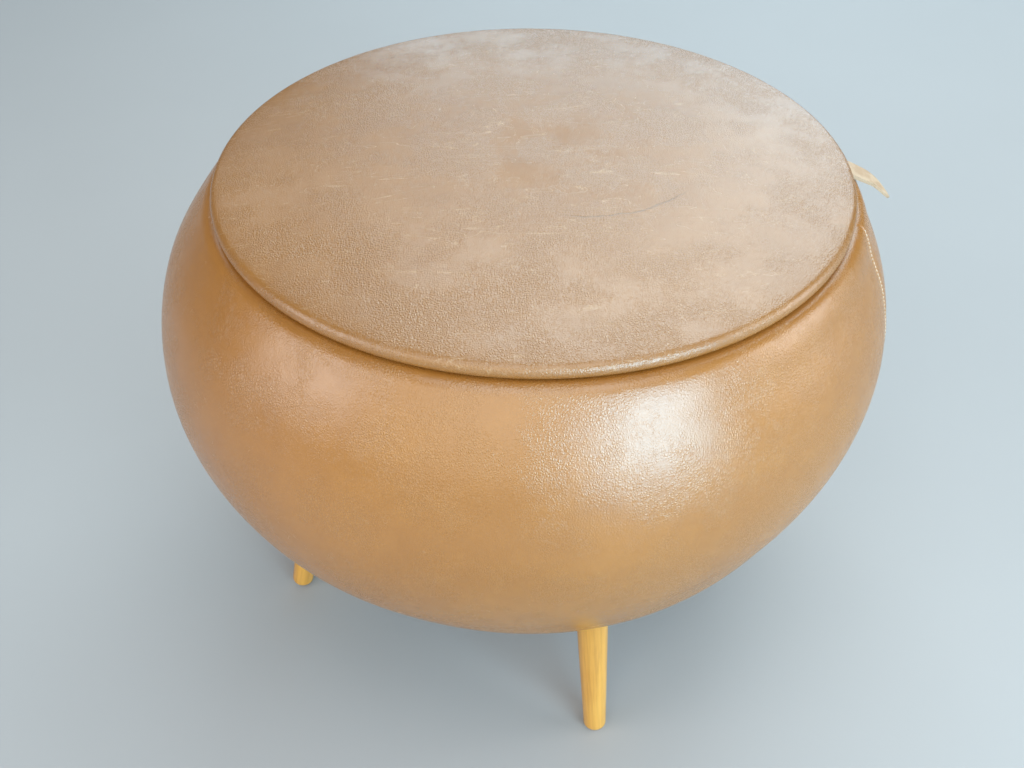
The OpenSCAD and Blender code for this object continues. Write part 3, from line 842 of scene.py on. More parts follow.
def coverPanel(name, first):
    # half of the cover, from one seam to the other
    edgeSteps = [0.03, 0.14, 0.30, 0.48, 0.66, 0.86, 1.15, 1.6, 2.3, 3.4, 5.0, 7.0]
    middle = list(np.linspace(9.2, 170.8, 72))
    offsets = edgeSteps + middle + [180 - s for s in reversed(edgeSteps)]
    angles = [first + o for o in offsets]
    skin, normals = skinGrid(angles)
    bottom, top, leather = coverBox["bottom"], coverBox["top"], bodyShape["leather"]
    hemR = boardBox["r"] - bodyShape["hemWidth"]
    tubR = drumBox["r"] - 5 * mm - leather
    rowsLow = [(hemR + (skinRows[0][0] - hemR) * t, bottom) for t in (0, 0.35, 0.7)]
    rimEdge = skinRows[-1][0]
    lip = bodyShape["lipRound"]
    rowsHigh = [(rimEdge - (rimEdge - tubR - lip) * t, top) for t in (0.12, 0.3, 0.5, 0.7, 0.88)]
    rowsHigh += [(tubR + lip, top)] + bend((tubR + lip, top), (tubR, top), (tubR, top - lip), 5)
    rowsHigh += [(tubR, z) for z in np.linspace(top - lip, top - bodyShape["turnDown"], 7)[1:]]
    low, high = turned(rowsLow, angles), turned(rowsHigh, angles)
    # the turned-down leather is gathered a little where it is stapled
    for i, a in enumerate(angles):
        for j, (r, z) in enumerate(rowsHigh):
            drop = max(top - lip - z, 0) / bodyShape["turnDown"]
            turn = math.radians(a)
            r2 = r - drop * bodyShape["gather"] * (1 + math.sin(turn * 41 + 2.0 * math.sin(turn * 7)))
            high[i, j, 0], high[i, j, 1] = r2 * math.cos(turn), r2 * math.sin(turn)
    outer = np.concatenate([low, skin, high], axis=1)
    flatLow = np.zeros_like(low)
    flatLow[..., 2] = -1
    flatHigh = np.zeros_like(high)
    for j, (r, z) in enumerate(rowsHigh):
        t = min(max((tubR + lip - r) / lip, 0), 1) * math.pi / 2
        for i, a in enumerate(angles):
            flatHigh[i, j] = (-math.sin(t) * math.cos(math.radians(a)),
                              -math.sin(t) * math.sin(math.radians(a)), math.cos(t))
    allNormals = np.concatenate([flatLow, normals, flatHigh], axis=1)
    inner = outer - allNormals * leather
    return shellMesh(name, outer, inner, False)


bodyFront = coverPanel("body_leather_front", bodyShape["seams"][1])
bodyBack = coverPanel("body_leather_back", bodyShape["seams"][0])
for panel, node in ((bodyFront, "body_cover_front"), (bodyBack, "body_cover_back")):
    finishPiece(panel, bodyHide, "base", (node,), 1)
print("body cover sewn from two panels")


def layerSolid(name, depthOut, depthIn, core):
    # a layer of padding round the body: its outside follows the skin, its inside a deeper skin or a hard core
    angles = fullTurn(bodyPuff["angles"])
    skin, normals = skinGrid(angles)
    use = [j for j, z in enumerate(skinZ) if boardBox["bottom"] + 1 * mm < z < ringBox["top"] + 0.1 * mm]
    outer = (skin - normals * depthOut)[:, use]
    if core:
        inner = turned(core, angles)
    else:
        inner = (skin - normals * depthIn)[:, use][:, ::-1]
    return loopMesh(name, np.concatenate([outer, inner], axis=1))


layerGap = 0.05 * mm
woolDepth = bodyShape["leather"] + layerGap
foamDepth = bodyShape["leather"] + bodyShape["wadding"]
woodR, glue = boardBox["r"], 0.1 * mm
boardTop = drumBox["bottom"]
foamCore = [(ringBox["r"] + glue, ringBox["top"] - 0.2 * mm), (ringBox["r"] + glue, ringBox["bottom"] - glue),
            (drumBox["r"] + glue, ringBox["bottom"] - glue), (drumBox["r"] + glue, boardTop + glue),
            (woodR + glue, boardTop + glue), (woodR + glue, boardBox["bottom"] + 1 * mm)]
bodyFoam = layerSolid("body_foam_moulded", foamDepth + layerGap, 0, foamCore)
bodyWool = layerSolid("body_wool_layer", woolDepth, foamDepth, None)
finishPiece(bodyFoam, seatFoam, "base", ("body_foam",))
finishPiece(bodyWool, wool, "base", ("body_wadding",))

# felt on the rim, under the leather
padEdge = bellyRadius(ringBox["top"], bodyShape["leather"] + 0.4 * mm)
padTop = coverBox["top"] - bodyShape["leather"] - 0.05 * mm
padRun = bellyRadius(padTop, bodyShape["leather"] + 0.4 * mm) - bodyShape["shoulderRun"]
padRows = [(drumBox["r"] - 5 * mm, ringBox["top"]), (padEdge, ringBox["top"])]
padRows += bend(padRows[-1], (padEdge - 3 * mm, padTop), (padRun - 2 * mm, padTop), 5)
padRows += [(drumBox["r"] - 3 * mm, padTop), (drumBox["r"] - 4.6 * mm, padTop - 0.5 * mm),
            (drumBox["r"] - 5 * mm, padTop - 2 * mm)]
rimFelt = turnedSolid("rim_felt_pad", padRows)
finishPiece(rimFelt, felt, "base", ("rim_pad",))
print("foam, wool and felt laid")


# the lid

lidShape = {
    "roll": 6.4 * mm,
    "rollEnd": 77.0,
    "power": 2.6,
    "leather": 1.4 * mm,
    "wadding": 3 * mm,
    "hemR": discBox["r"] - 12 * mm,
    "slotHalf": 12.0 * mm,
    "slotReference": 2.75,
    "slotHigh": 3.1 * mm,
    # columns within this turn of the tab, beyond this radius, run straight
    "straightTurn": 9.0,
    "straightFrom": 170 * mm,
    "straightFade": 20 * mm,
    "columns": 120,
    "waves": ((0.150, 0.7 * mm), (0.065, 0.22 * mm), (0.030, 0.05 * mm)),
}
lidPuff = dict(bodyPuff, cap=3.5 * mm, pressure=3.0, angles=lidShape["columns"])
lidR, lidZ = lidBox["r"], lidBox["bottom"]
rollX, rollZ = lidR - lidShape["roll"], lidZ + lidShape["roll"]
lastTurn = math.radians(lidShape["rollEnd"])
domeR, domeZ = rollX + lidShape["roll"] * math.cos(lastTurn), rollZ + lidShape["roll"] * math.sin(lastTurn)
rollTurns = np.radians(np.linspace(-90, lidShape["rollEnd"], 15))
domeShares = 1 - np.linspace(0, 1, 40) ** 1.25


def lidRows(depth):
    # hem, roll and dome, set back by depth under the leather's face
    r = lidShape["roll"] - depth
    hem = [(lidShape["hemR"] + (rollX - lidShape["hemR"]) * t, lidZ + depth)
           for t in (0, 0.1, 0.4, 0.7, 0.92)]
    arc = [(rollX + r * math.cos(t), rollZ + r * math.sin(t)) for t in rollTurns]
    dome = []
    for share in domeShares[1:]:
        x = domeR * max(share, 0)
        dome.append((x, domeZ + (lidBox["top"] - domeZ) * (1 - max(share, 0) ** lidShape["power"])))
    if depth:
        slope = [(-lidShape["power"] * (lidBox["top"] - domeZ) / domeR * max(s, 0) ** (lidShape["power"] - 1))
                 for s in domeShares[1:]]
        dome = [(max(x + depth * s / math.hypot(1, s), 0), z - depth / math.hypot(1, s))
                for (x, z), s in zip(dome, slope)]
    return hem + arc + dome


lidOuterRows = lidRows(0)
hemCount, arcCount = 5, len(rollTurns)
domeStart = hemCount + arcCount


def lidAngle(column, r):
    # columns by the tab run straight, parallel to its edges
    a = (column + 180) % 360 - 180
    limit, ref, start = lidShape["straightTurn"], lidShape["slotReference"], lidShape["straightFrom"]
    if abs(a) >= limit or r < start:
        return column
    edge = math.degrees(math.asin(lidShape["slotHalf"] / r))
    size = abs(a)
    moved = size * edge / ref if size <= ref else edge + (size - ref) * (limit - edge) / (limit - ref)
    keep = min(max((r - start) / lidShape["straightFade"], 0), 1)
    return math.copysign(size + (moved - size) * keep, a)


lidColumns = sorted(set([round(a, 4) for a in fullTurn(lidShape["columns"]) if 3.6 < a < 356.4]
                        + [0.0, 0.9, 1.8, 2.6, 2.75, 3.1, 356.9, 357.25, 357.4, 358.2, 359.1]))


def lidGrid(depth, columns, push=None):
    rows = lidRows(depth)
    out = np.zeros((len(columns), len(rows), 3))
    for i, c in enumerate(columns):
        at = (c % 360) / 360 * lidPuff["angles"]
        lo, t = int(at) % lidPuff["angles"], at - int(at)
        for j, (r, z) in enumerate(rows):
            a = math.radians(lidAngle(c, r))
            x, y = r * math.cos(a), r * math.sin(a)
            lift = 0.0
            if j >= domeStart - 3:
                fade = min((j - (domeStart - 3)) / 8, 1)
                lift = fade * waves((x, y, z), lidShape["waves"], 3.0)
            if push is not None and j >= domeStart:
                nextColumn = (lo + 1) % lidPuff["angles"]
                lift += push[lo, j - domeStart] * (1 - t) + push[nextColumn, j - domeStart] * t
            out[i, j] = (x, y, z + lift)
    return out


domeEven = turned(lidOuterRows[domeStart - 1:-1], fullTurn(lidPuff["angles"]))
heldRows = np.zeros(domeEven.shape[:2])
heldRows[:, 0] = 1.0
raw = clothBulge("lidSkinPuff", domeEven, heldRows, lidPuff)
centre = raw[:, -1].mean()
raw = np.concatenate([raw[:, 1:], np.full((raw.shape[0], 1), centre)], axis=1)
share = np.linspace(0, 1, raw.shape[1])
keep = np.clip((1 - share) / 0.12, 0, 1)
raw = raw * keep + centre * (1 - keep)
ease = np.clip(share / 0.25, 0, 1)
lidPush = (raw - centre) * ease * ease * (3 - 2 * ease)
print("lid cover blown out by", np.round(lidPush.min() / mm, 2), "to", np.round(lidPush.max() / mm, 2))

slotRow = hemCount + int(np.argmax(np.array([rollZ + lidShape["roll"] * math.sin(t) for t in rollTurns])
                                   > lidZ + lidShape["slotHigh"]))
slotCells = set()
for i, c in enumerate(lidColumns):
    nearSlot = (c < lidShape["slotReference"] - 0.01) or (c >= 360 - lidShape["slotReference"] - 0.01)
    if nearSlot:
        slotCells |= {(i, j) for j in range(slotRow)}
lidLeather = shellMesh("lid_leather", lidGrid(0, lidColumns, lidPush),
                       lidGrid(lidShape["leather"], lidColumns, lidPush), True, slotCells)
finishPiece(lidLeather, lidHideShaded, "lid", ("lid_cover",), 1)

# wool and foam under it, down to the board
layerColumns = fullTurn(96)


def lidLayer(name, depthOut, depthIn, edgeR):
    top = lidGrid(depthOut, layerColumns, lidPush)[:, domeStart + 1:]
    keep = [j for j in range(top.shape[1]) if top[:, j, 2].min() > lidBoardBox["top"] + 0.6 * mm
            and math.hypot(top[0, j, 0], top[0, j, 1]) <= edgeR]
    top = top[:, keep]
    if depthIn:
        under = top[:, ::-1].copy()
        under[..., 2] = np.maximum(under[..., 2] - (depthIn - depthOut), lidBoardBox["top"] + 0.1 * mm)
    else:
        under = turned([(r, lidBoardBox["top"]) for r in (0, edgeR * 0.5, edgeR)], layerColumns)
    return loopMesh(name, np.concatenate([top, under], axis=1))


lidWoolTop, lidFoamTop = lidShape["leather"], lidShape["leather"] + lidShape["wadding"]
lidWool = lidLayer("lid_wool_layer", lidWoolTop + layerGap, lidFoamTop, rollX - 3 * mm)
lidFoam = lidLayer("lid_foam_pad", lidFoamTop + layerGap, 0, rollX - 8 * mm)
finishPiece(lidWool, wool, "lid", ("lid_wadding",))
finishPiece(lidFoam, seatFoam, "lid", ("lid_foam",))
print("lid covered")


def applied(obj):
    # bake the live modifiers of a piece into its mesh
    graph = bpy.context.evaluated_depsgraph_get()
    mesh = bpy.data.meshes.new_from_object(obj.evaluated_get(graph), depsgraph=graph)
    obj.modifiers.clear()
    obj.data = mesh
    return obj


def bevelled(obj, width, angle):
    mod = obj.modifiers.new("Bevel", "BEVEL")
    mod.width = width
    mod.segments = 2
    mod.limit_method = "ANGLE"
    mod.angle_limit = math.radians(angle)
    return applied(obj)


def pointAttribute(obj, name, kind, values):
    layer = obj.data.attributes.get(name) or obj.data.attributes.new(name, kind, "POINT")
    layer.data.foreach_set("vector" if kind == "FLOAT_VECTOR" else "value",
                           np.array(values, dtype=np.float32).ravel())


# the pull tab: one strip from its screws under the lid to its round tip

tabShape = {
    "half": (tabBox["high"].y - tabBox["low"].y) / 2,
    "thick": 3 * mm,
    "free": 47.5 * mm,
    # how steeply it falls: (share of the free length, degrees)
    "droops": ((0.0, 0.0), (0.10, 24.0), (0.30, 24.0), (0.60, 38.0), (1.0, 56.0)),
    "taper": 0.35,
    "rootX": tabRootBox["low"].x,
    "nickAt": 0.52,
    "nickDeep": 1.6 * mm,
    "nickWide": 1.3 * mm,
    "narrow": 0.16,
    "curl": 0.9 * mm,
}
tabX, tabZ = tabJoint["pos_m"][0], lidZ + tabShape["thick"] / 2


def tabPath():
    # centre line of the free end: a quick bend at the lid, a flatter run, then it falls away
    shares, falls = zip(*tabShape["droops"])
    steps = 120
    points = [(tabX, tabZ, 0.0)]
    for n in range(steps):
        share = (n + 0.5) / steps
        angle = math.radians(np.interp(share, shares, falls))
        x, z, _ = points[-1]
        hop = tabShape["free"] / steps
        points.append((x + hop * math.cos(angle), z - hop * math.sin(angle), angle))
    return points


tabLine = tabPath()
tabTipX = tabLine[-1][0]


def tabPlace(x):
    # height and slope of the centre line at x
    if x <= tabX:
        return tabZ, 0.0
    xs = [p[0] for p in tabLine]
    return float(np.interp(x, xs, [p[1] for p in tabLine])), float(np.interp(x, xs, [p[2] for p in tabLine]))


def tabPoint(x, y, side):
    # x is measured in plan; side is +1 on the face, -1 on the flesh side
    z, turn = tabPlace(x)
    over = max(x - tabX, 0)
    share = over / (tabTipX - tabX)
    h = side * tabShape["thick"] / 2 * (1 - tabShape["taper"] * share)
    ripple = 0.4 * mm * noise.noise(Vector((x * 60, y * 70, 1.3))) * min(over / 0.01, 1)
    cup = -tabShape["curl"] * (y / tabShape["half"]) ** 2 * share + ripple
    return (x + (h + cup) * math.sin(turn), y, z + (h + cup) * math.cos(turn))


def makeTab():
    half = tabShape["half"]
    across = [half * math.sin(math.pi / 2 * t) for t in np.linspace(-1, 1, 17)]
    shares = np.concatenate([np.linspace(0, 0.70, 15), np.linspace(0.72, 1.0, 30)])
    nickX = tabX + (tabTipX - tabX) * tabShape["nickAt"]
    faces = [np.zeros((len(across), len(shares), 3)) for _ in range(2)]
    for i, y in enumerate(across):
        end = tabTipX - half + math.sqrt(max(half * half - y * y, 0))
        for j, s in enumerate(shares):
            x = tabShape["rootX"] + (end - tabShape["rootX"]) * s
            narrow = 1 - tabShape["narrow"] * max((x - tabX) / (tabTipX - tabX), 0)
            yy = y * narrow
            if y < 0:
                nick = math.exp(-((x - nickX) / tabShape["nickWide"]) ** 2)
                yy += tabShape["nickDeep"] * nick * (y / half) ** 4
            faces[0][i, j] = tabPoint(x, yy, 1)
            faces[1][i, j] = tabPoint(x, yy, -1)
    obj = shellMesh("pull_tab_strip", faces[0], faces[1], False)
    bevelled(obj, 0.45 * mm, 50)
    edge = []
    for v in obj.data.vertices:
        turn = tabPlace(v.co.x)[1]
        flat = abs(v.normal.dot(Vector((math.sin(turn), 0, math.cos(turn)))))
        edge.append(min(max((0.93 - flat) / 0.25, 0), 1))
    pointAttribute(obj, "cutEdge", "FLOAT", edge)
    return obj


pullTab = makeTab()
pullTab.data.materials.clear()
pullTab.data.materials.append(rawHide)
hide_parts("tab_root", "pull_tab")
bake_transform(pullTab)
print("pull tab cut")


# legs

legShape = {
    "angles": {"leg_right": 12.0, "leg_back": 102.0, "leg_left": 192.0, "leg_front": 282.0},
    "height": boardBox["bottom"],
    "glide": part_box("foot_glides")[1].z,
    "topR": 14.0 * mm,
    "footR": 9.5 * mm,
    "footRound": 6.0 * mm,
    "splay": math.radians(12.0),
    "inset": 14.1 * mm,
}
legLength = legShape["height"] / math.cos(legShape["splay"])
legTopX = drumBox["r"] - 5 * mm - legShape["inset"]


def legRadius(s):
    foot, rounding = legShape["footR"], legShape["footRound"]
    grow = (legShape["topR"] - foot) / legLength
    straight = foot + grow * (legLength - s)
    into = s - (legLength - rounding)
    if into <= 0:
        return straight
    into = min(into, rounding * 0.999)
    return straight - rounding + math.sqrt(rounding ** 2 - into ** 2)


def makeLeg(name, turn, seed):
    lean = legShape["splay"]
    shares = list(np.linspace(0, 0.93, 26)) + list(np.linspace(0.945, 1.0, 10))
    steps = 40
    grid = np.zeros((steps, len(shares) + 2, 3))
    grown = np.zeros_like(grid)
    for i in range(steps):
        phi = 2 * math.pi * i / steps
        ends = []
        for level in (legShape["height"] - 0.1 * mm, legShape["glide"]):
            s = 0.0 if level > 0.1 else legLength
            for _ in range(12):
                rise = math.sin(lean) * legRadius(s) * math.cos(phi)
                s = (legShape["height"] - level + rise) / math.cos(lean)
            ends.append(s)
        for j, share in enumerate(shares):
            s = ends[0] + (ends[1] - ends[0]) * share
            r = legRadius(s)
            local = (r * math.cos(phi), r * math.sin(phi), -s)
            grid[i, j + 1] = local
            grown[i, j + 1] = (local[0] + seed, local[1] - seed, s)
    # the two cut ends close at their own middles
    for row, near in ((0, 1), (-1, -2)):
        grid[:, row] = grid[:, near].mean(0)
        grown[:, row] = grown[:, near].mean(0)
    out = grid.copy()
    out[..., 0] = grid[..., 0] * math.cos(lean) - grid[..., 2] * math.sin(lean) + legTopX
    out[..., 2] = grid[..., 0] * math.sin(lean) + grid[..., 2] * math.cos(lean) + legShape["height"]
    a = math.radians(turn)
    x, y = out[..., 0].copy(), out[..., 1].copy()
    out[..., 0], out[..., 1] = x * math.cos(a) - y * math.sin(a), x * math.sin(a) + y * math.cos(a)
    obj = makeMesh(name, out.reshape(-1, 3), list(gridCells(out).values()))
    pointAttribute(obj, "legGrain", "FLOAT_VECTOR", grown)
    mergeAndTurnOut(obj)
    return bevelled(obj, 0.5 * mm, 55)


for number, (node, turn) in enumerate(legShape["angles"].items()):
    finishPiece(makeLeg(node + "_turned", turn, 0.37 * number), beech, "base", (node,))
print("legs turned")


# inside the tub and under the base

liningShape = {
    "hem": 9 * mm,
    "wrinkle": 0.35 * mm,
    "cloth": 1.2 * mm,
    "floorCrown": 1.1 * mm,
    "legClear": 2 * mm,
    "sag": 1.8 * mm,
    "rumple": 0.5 * mm,
}


def makeLiningWall():
    angles = fullTurn(192)
    cardR = cardBox["r"] - 1.5 * mm
    high, low = liningBox["top"], liningBox["bottom"] + 0.2 * mm
    heights = list(np.linspace(low, high - liningShape["hem"] - 1 * mm, 16))
    hem = liningShape["hem"]
    heights += [high - hem, high - hem + 0.8 * mm, high - hem * 0.6, high - hem * 0.3, high - 1.0 * mm,
                high - 0.3 * mm, high]
    outer = turned([(cardR - 0.05 * mm, z) for z in heights], angles)
    inner = outer.copy()
    for i, a in enumerate(angles):
        c, s = math.cos(math.radians(a)), math.sin(math.radians(a))
        for j, z in enumerate(heights):
            inHem = z > high - hem - 0.1 * mm
            thick = liningShape["cloth"] * (1.0 if not inHem else 1.75)
            if z > high - 0.5 * mm:
                thick *= 0.6
            ripple = 0.5 + noise.noise(Vector((c * 5, s * 5, z * 9)))
            slack = liningShape["wrinkle"] * ripple * (z < high - hem)
            r = cardR - 0.05 * mm - thick - max(slack, 0)
            inner[i, j] = (r * c, r * s, z)
    obj = shellMesh("lining_wall_cloth", inner, outer, True)
    pointAttribute(obj, "clothMap", "FLOAT_VECTOR",
                   [(math.atan2(v.co.y, v.co.x) * cardR, v.co.z, 0) for v in obj.data.vertices])
    return obj


def discCloth(name, radius, low, high, crown, steps=128, rings=14):
    # a flat round of cloth with a soft middle and a turned edge
    shares = [0.0] + list(np.linspace(0.08, 0.97, rings)) + [0.985, 1.0]
    top = [(radius * t, high + crown * (1 - t ** 2) - (0.3 * mm if t > 0.98 else 0)) for t in shares]
    under = [(radius * t, low) for t in (1.0, 0.5, 0.0)]
    obj = turnedSolid(name, top + under, steps)
    for v in obj.data.vertices:
        if v.co.z > low + 0.2 * mm and math.hypot(v.co.x, v.co.y) < radius * 0.97:
            v.co.z += 0.4 * mm * noise.noise(v.co * 14)
    pointAttribute(obj, "clothMap", "FLOAT_VECTOR", [(v.co.x, v.co.y, 0) for v in obj.data.vertices])
    return obj


liningWall = makeLiningWall()
floorR = liningFloorBox["r"] - 0.6 * mm
liningFloor = discCloth("lining_floor_pad", floorR, liningFloorBox["bottom"] + 0.05 * mm,
                        liningFloorBox["top"] - 0.4 * mm, liningShape["floorCrown"])
finishPiece(liningWall, liningCloth, "base", ("lining_wall",))
finishPiece(liningFloor, liningCloth, "base", ("lining_floor",))


def makeDiscCover():
    # cloth stretched over the locating disc under the lid, folded up at its edge
    wrap = discClothBox["r"]
    low, high = discClothBox["bottom"], discClothBox["top"]
    cloth = 0.8 * mm
    outside = [(wrap * t, low) for t in (0, 0.15, 0.3, 0.45, 0.6, 0.75, 0.88, 0.96)]
    outside += [(wrap - 1.6 * mm, low)] + bend((wrap - 1.6 * mm, low), (wrap, low), (wrap, low + 1.6 * mm), 4)
    outside += [(wrap, z) for z in np.linspace(low + 3 * mm, high, 5)]
    inside = [(wrap - cloth, high), (wrap - cloth, low + cloth + 0.6 * mm)]
    inside += [(wrap - cloth - 0.6 * mm, low + cloth), (wrap * 0.5, low + cloth), (0, low + cloth)]
    obj = turnedSolid("disc_cloth", outside + inside, 160)
    pointAttribute(obj, "clothMap", "FLOAT_VECTOR",
                   [(v.co.x, v.co.y, 0) if v.co.z < low + 1.2 * mm
                    else (math.atan2(v.co.y, v.co.x) * wrap, v.co.z, 0) for v in obj.data.vertices])
    return obj


discCover = makeDiscCover()
finishPiece(discCover, liningCloth, "lid", ("disc_cover",))


def makeDustCover():
    # black cambric under the base, cut out round the leg tops, sagging a little in the middle
    radius, thick = dustBox["r"], 0.6 * mm
    points, edges = [], []

    def addLoop(cx, cy, r, count):
        first = len(points)
        for n in range(count):
            a = 2 * math.pi * n / count
            points.append(Vector((cx + r * math.cos(a), cy + r * math.sin(a))))
            edges.append((first + n, first + (n + 1) % count))

    addLoop(0, 0, radius, 160)
    holeR = legShape["topR"] + liningShape["legClear"]
    holes = [(legTopX * math.cos(math.radians(a)), legTopX * math.sin(math.radians(a)), holeR)
             for a in legShape["angles"].values()]
    for x, y, r in holes:
        addLoop(x, y, r, 32)
    for ringAt in np.linspace(0.1, 0.95, 12):
        count = max(int(64 * ringAt), 8)
        for n in range(count):
            a = 2 * math.pi * (n + ringAt * 3) / count
            x, y = radius * ringAt * math.cos(a), radius * ringAt * math.sin(a)
            if all(math.hypot(x - hx, y - hy) > hr + 2 * mm for hx, hy, hr in holes):
                points.append(Vector((x, y)))
    flat, _, triangles = delaunay_2d_cdt(points, edges, [], 0, 1e-6)[:3]
    kept = []
    for t in triangles:
        cx, cy = sum(flat[v].x for v in t) / 3, sum(flat[v].y for v in t) / 3
        if math.hypot(cx, cy) < radius and all(math.hypot(cx - hx, cy - hy) > hr for hx, hy, hr in holes):
            kept.append(t)
    used = sorted({v for t in kept for v in t})
    index = {v: n for n, v in enumerate(used)}
    low = []
    for v in used:
        p = flat[v]
        share = min(math.hypot(p.x, p.y) / radius, 1)
        rumple = liningShape["rumple"] * noise.noise(Vector((p.x * 18, p.y * 18, 0)))
        sag = liningShape["sag"] * (1 - share ** 2) + rumple * (1 - share)
        low.append((p.x, p.y, dustBox["bottom"] - max(sag, 0)))
    count = len(low)
    cells = [tuple(index[v] for v in t) for t in kept]
    points = low + [(x, y, z + thick) for x, y, z in low]
    obj = mergeAndTurnOut(makeMesh("dust_cambric", points, closedPair(cells, count)))
    pointAttribute(obj, "clothMap", "FLOAT_VECTOR", [(v.co.x, v.co.y, 0) for v in obj.data.vertices])
    return obj


dustCloth = makeDustCover()
finishPiece(dustCloth, cambric, "base", ("dust_cover",))
print("lining, disc cloth and dust cover laid")


# stitches

def stitchTree():
    tree = bpy.data.node_groups.new("StitchesAlongPath", "GeometryNodeTree")
    tree.interface.new_socket("Path", in_out="INPUT", socket_type="NodeSocketGeometry")
    for name, value in (("Pitch", 4 * mm), ("Stitch length", 3 * mm), ("Thread thickness", 0.7 * mm),
                        ("Rise", 0.5 * mm)):
        tree.interface.new_socket(name, in_out="INPUT", socket_type="NodeSocketFloat").default_value = value
    tree.interface.new_socket("Thread", in_out="INPUT", socket_type="NodeSocketMaterial")
    tree.interface.new_socket("Stitches", in_out="OUTPUT", socket_type="NodeSocketGeometry")
    g = Graph(tree)
    given = tree.nodes.new("NodeGroupInput").outputs
    out = tree.nodes.new("NodeGroupOutput").inputs
    # one stitch: a thread that dives into the leather at both ends
    half = g.math("MULTIPLY", given["Stitch length"], 0.5)
    back = g.math("MULTIPLY", half, -1.0)
    deep = g.math("MULTIPLY", given["Thread thickness"], -0.6)
    ends = [g.node("ShaderNodeCombineXYZ", {0: x, 2: z}).outputs[0]
            for x, z in ((back, deep), (0.0, given["Rise"]), (half, deep))]
    arc = g.node("GeometryNodeCurveQuadraticBezier", {"Resolution": 6, "Start": ends[0], "Middle": ends[1],
                                                      "End": ends[2]})
    strand = g.node("GeometryNodeCurvePrimitiveCircle", {"Resolution": 6})
    g.feed(strand.inputs["Radius"], g.math("MULTIPLY", given["Thread thickness"], 0.5))
    one = g.node("GeometryNodeCurveToMesh", {"Curve": arc.outputs[0], "Profile Curve": strand.outputs[0],
                                             "Fill Caps": True})
    smooth = g.node("GeometryNodeSetShadeSmooth", {0: one.outputs[0]})
    # the path, cut into even steps, with the surface normal carried along
    curve = g.node("GeometryNodeMeshToCurve", {0: given["Path"]})
    even = g.node("GeometryNodeResampleCurve", mode="LENGTH")
    g.feed(even.inputs["Curve"], curve.outputs[0])
    g.feed(even.inputs["Length"], given["Pitch"])
    normal = g.node("GeometryNodeInputNamedAttribute", {"Name": "outward"}, data_type="FLOAT_VECTOR")
    tangent = g.node("GeometryNodeInputTangent")
    first = g.node("FunctionNodeAlignRotationToVector", axis="X")
    g.feed(first.inputs["Vector"], tangent.outputs[0])
    second = g.node("FunctionNodeAlignRotationToVector", axis="Z", pivot_axis="X")
    g.feed(second.inputs["Rotation"], first.outputs[0])
    g.feed(second.inputs["Vector"], normal.outputs[0])
    wander = g.node("FunctionNodeRandomValue", {2: 0.93, 3: 1.06}, data_type="FLOAT")
    wander.inputs["Seed"].default_value = 11
    placed = g.node("GeometryNodeInstanceOnPoints", {"Points": even.outputs[0], "Instance": smooth.outputs[0],
                                                     "Rotation": second.outputs[0],
                                                     "Scale": wander.outputs[1]})
    real = g.node("GeometryNodeRealizeInstances", {0: placed.outputs[0]})
    paint = g.node("GeometryNodeSetMaterial", {"Geometry": real.outputs[0], "Material": given["Thread"]})
    g.feed(out["Stitches"], paint.outputs[0])
    return tree


stitchesAlongPath = stitchTree()


def sewStitches(name, path, normals, closed, values, body):
    count = len(path)
    mesh = bpy.data.meshes.new(name)
    edges = [(n, n + 1) for n in range(count - 1)] + ([(count - 1, 0)] if closed else [])
    mesh.from_pydata([tuple(p) for p in path], edges, [])
    obj = bpy.data.objects.new(name, mesh)
    scene.collection.objects.link(obj)
    pointAttribute(obj, "outward", "FLOAT_VECTOR", [tuple(n) for n in normals])
    mod = obj.modifiers.new("Stitches", "NODES")
    mod.node_group = stitchesAlongPath
    for item in stitchesAlongPath.interface.items_tree:
        if item.in_out == "INPUT" and item.name in values:
            mod[item.identifier] = values[item.name]
    applied(obj)
    if not obj.data.materials:
        obj.data.materials.append(values["Thread"])
    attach(obj, body)
    print(name, len(obj.data.polygons), "faces")
    return obj


seamThread = {"Pitch": 3.6 * mm, "Stitch length": 2.7 * mm, "Thread thickness": 0.6 * mm, "Rise": 0.75 * mm,
              "Thread": thread}
for label, seam in (("right", bodyShape["seams"][0]), ("left", bodyShape["seams"][1])):
    # on the front panel, just inside its folded edge
    side = -1 if label == "right" else 1
    inset = math.degrees(seamShape["stitchInset"] / bodyShape["radius"])
    skin, normals = skinGrid([seam + side * inset, seam + side * (inset + 0.2)])
    use = [j for j, z in enumerate(skinZ) if skinZ[0] + 6 * mm < z <= ringBox["top"] + 1 * mm]
    sewStitches("seam_stitches_" + label, skin[0, use], normals[0, use], False, seamThread, "base")

hemThread = {"Pitch": 5 * mm, "Stitch length": 3.6 * mm, "Thread thickness": 0.6 * mm, "Rise": 0.55 * mm,
             "Thread": thread}
hemR = cardBox["r"] - 1.5 * mm - 0.05 * mm - liningShape["cloth"] * 1.75
hemZ = liningBox["top"] - liningShape["hem"] * 0.7
ringPath = [(hemR * math.cos(a), hemR * math.sin(a), hemZ) for a in np.radians(fullTurn(240))]
ringOut = [(-math.cos(a), -math.sin(a), 0) for a in np.radians(fullTurn(240))]
sewStitches("lining_hem_stitches", ringPath, ringOut, True, hemThread, "base")
print("stitched")


# what the workshop parts are made of

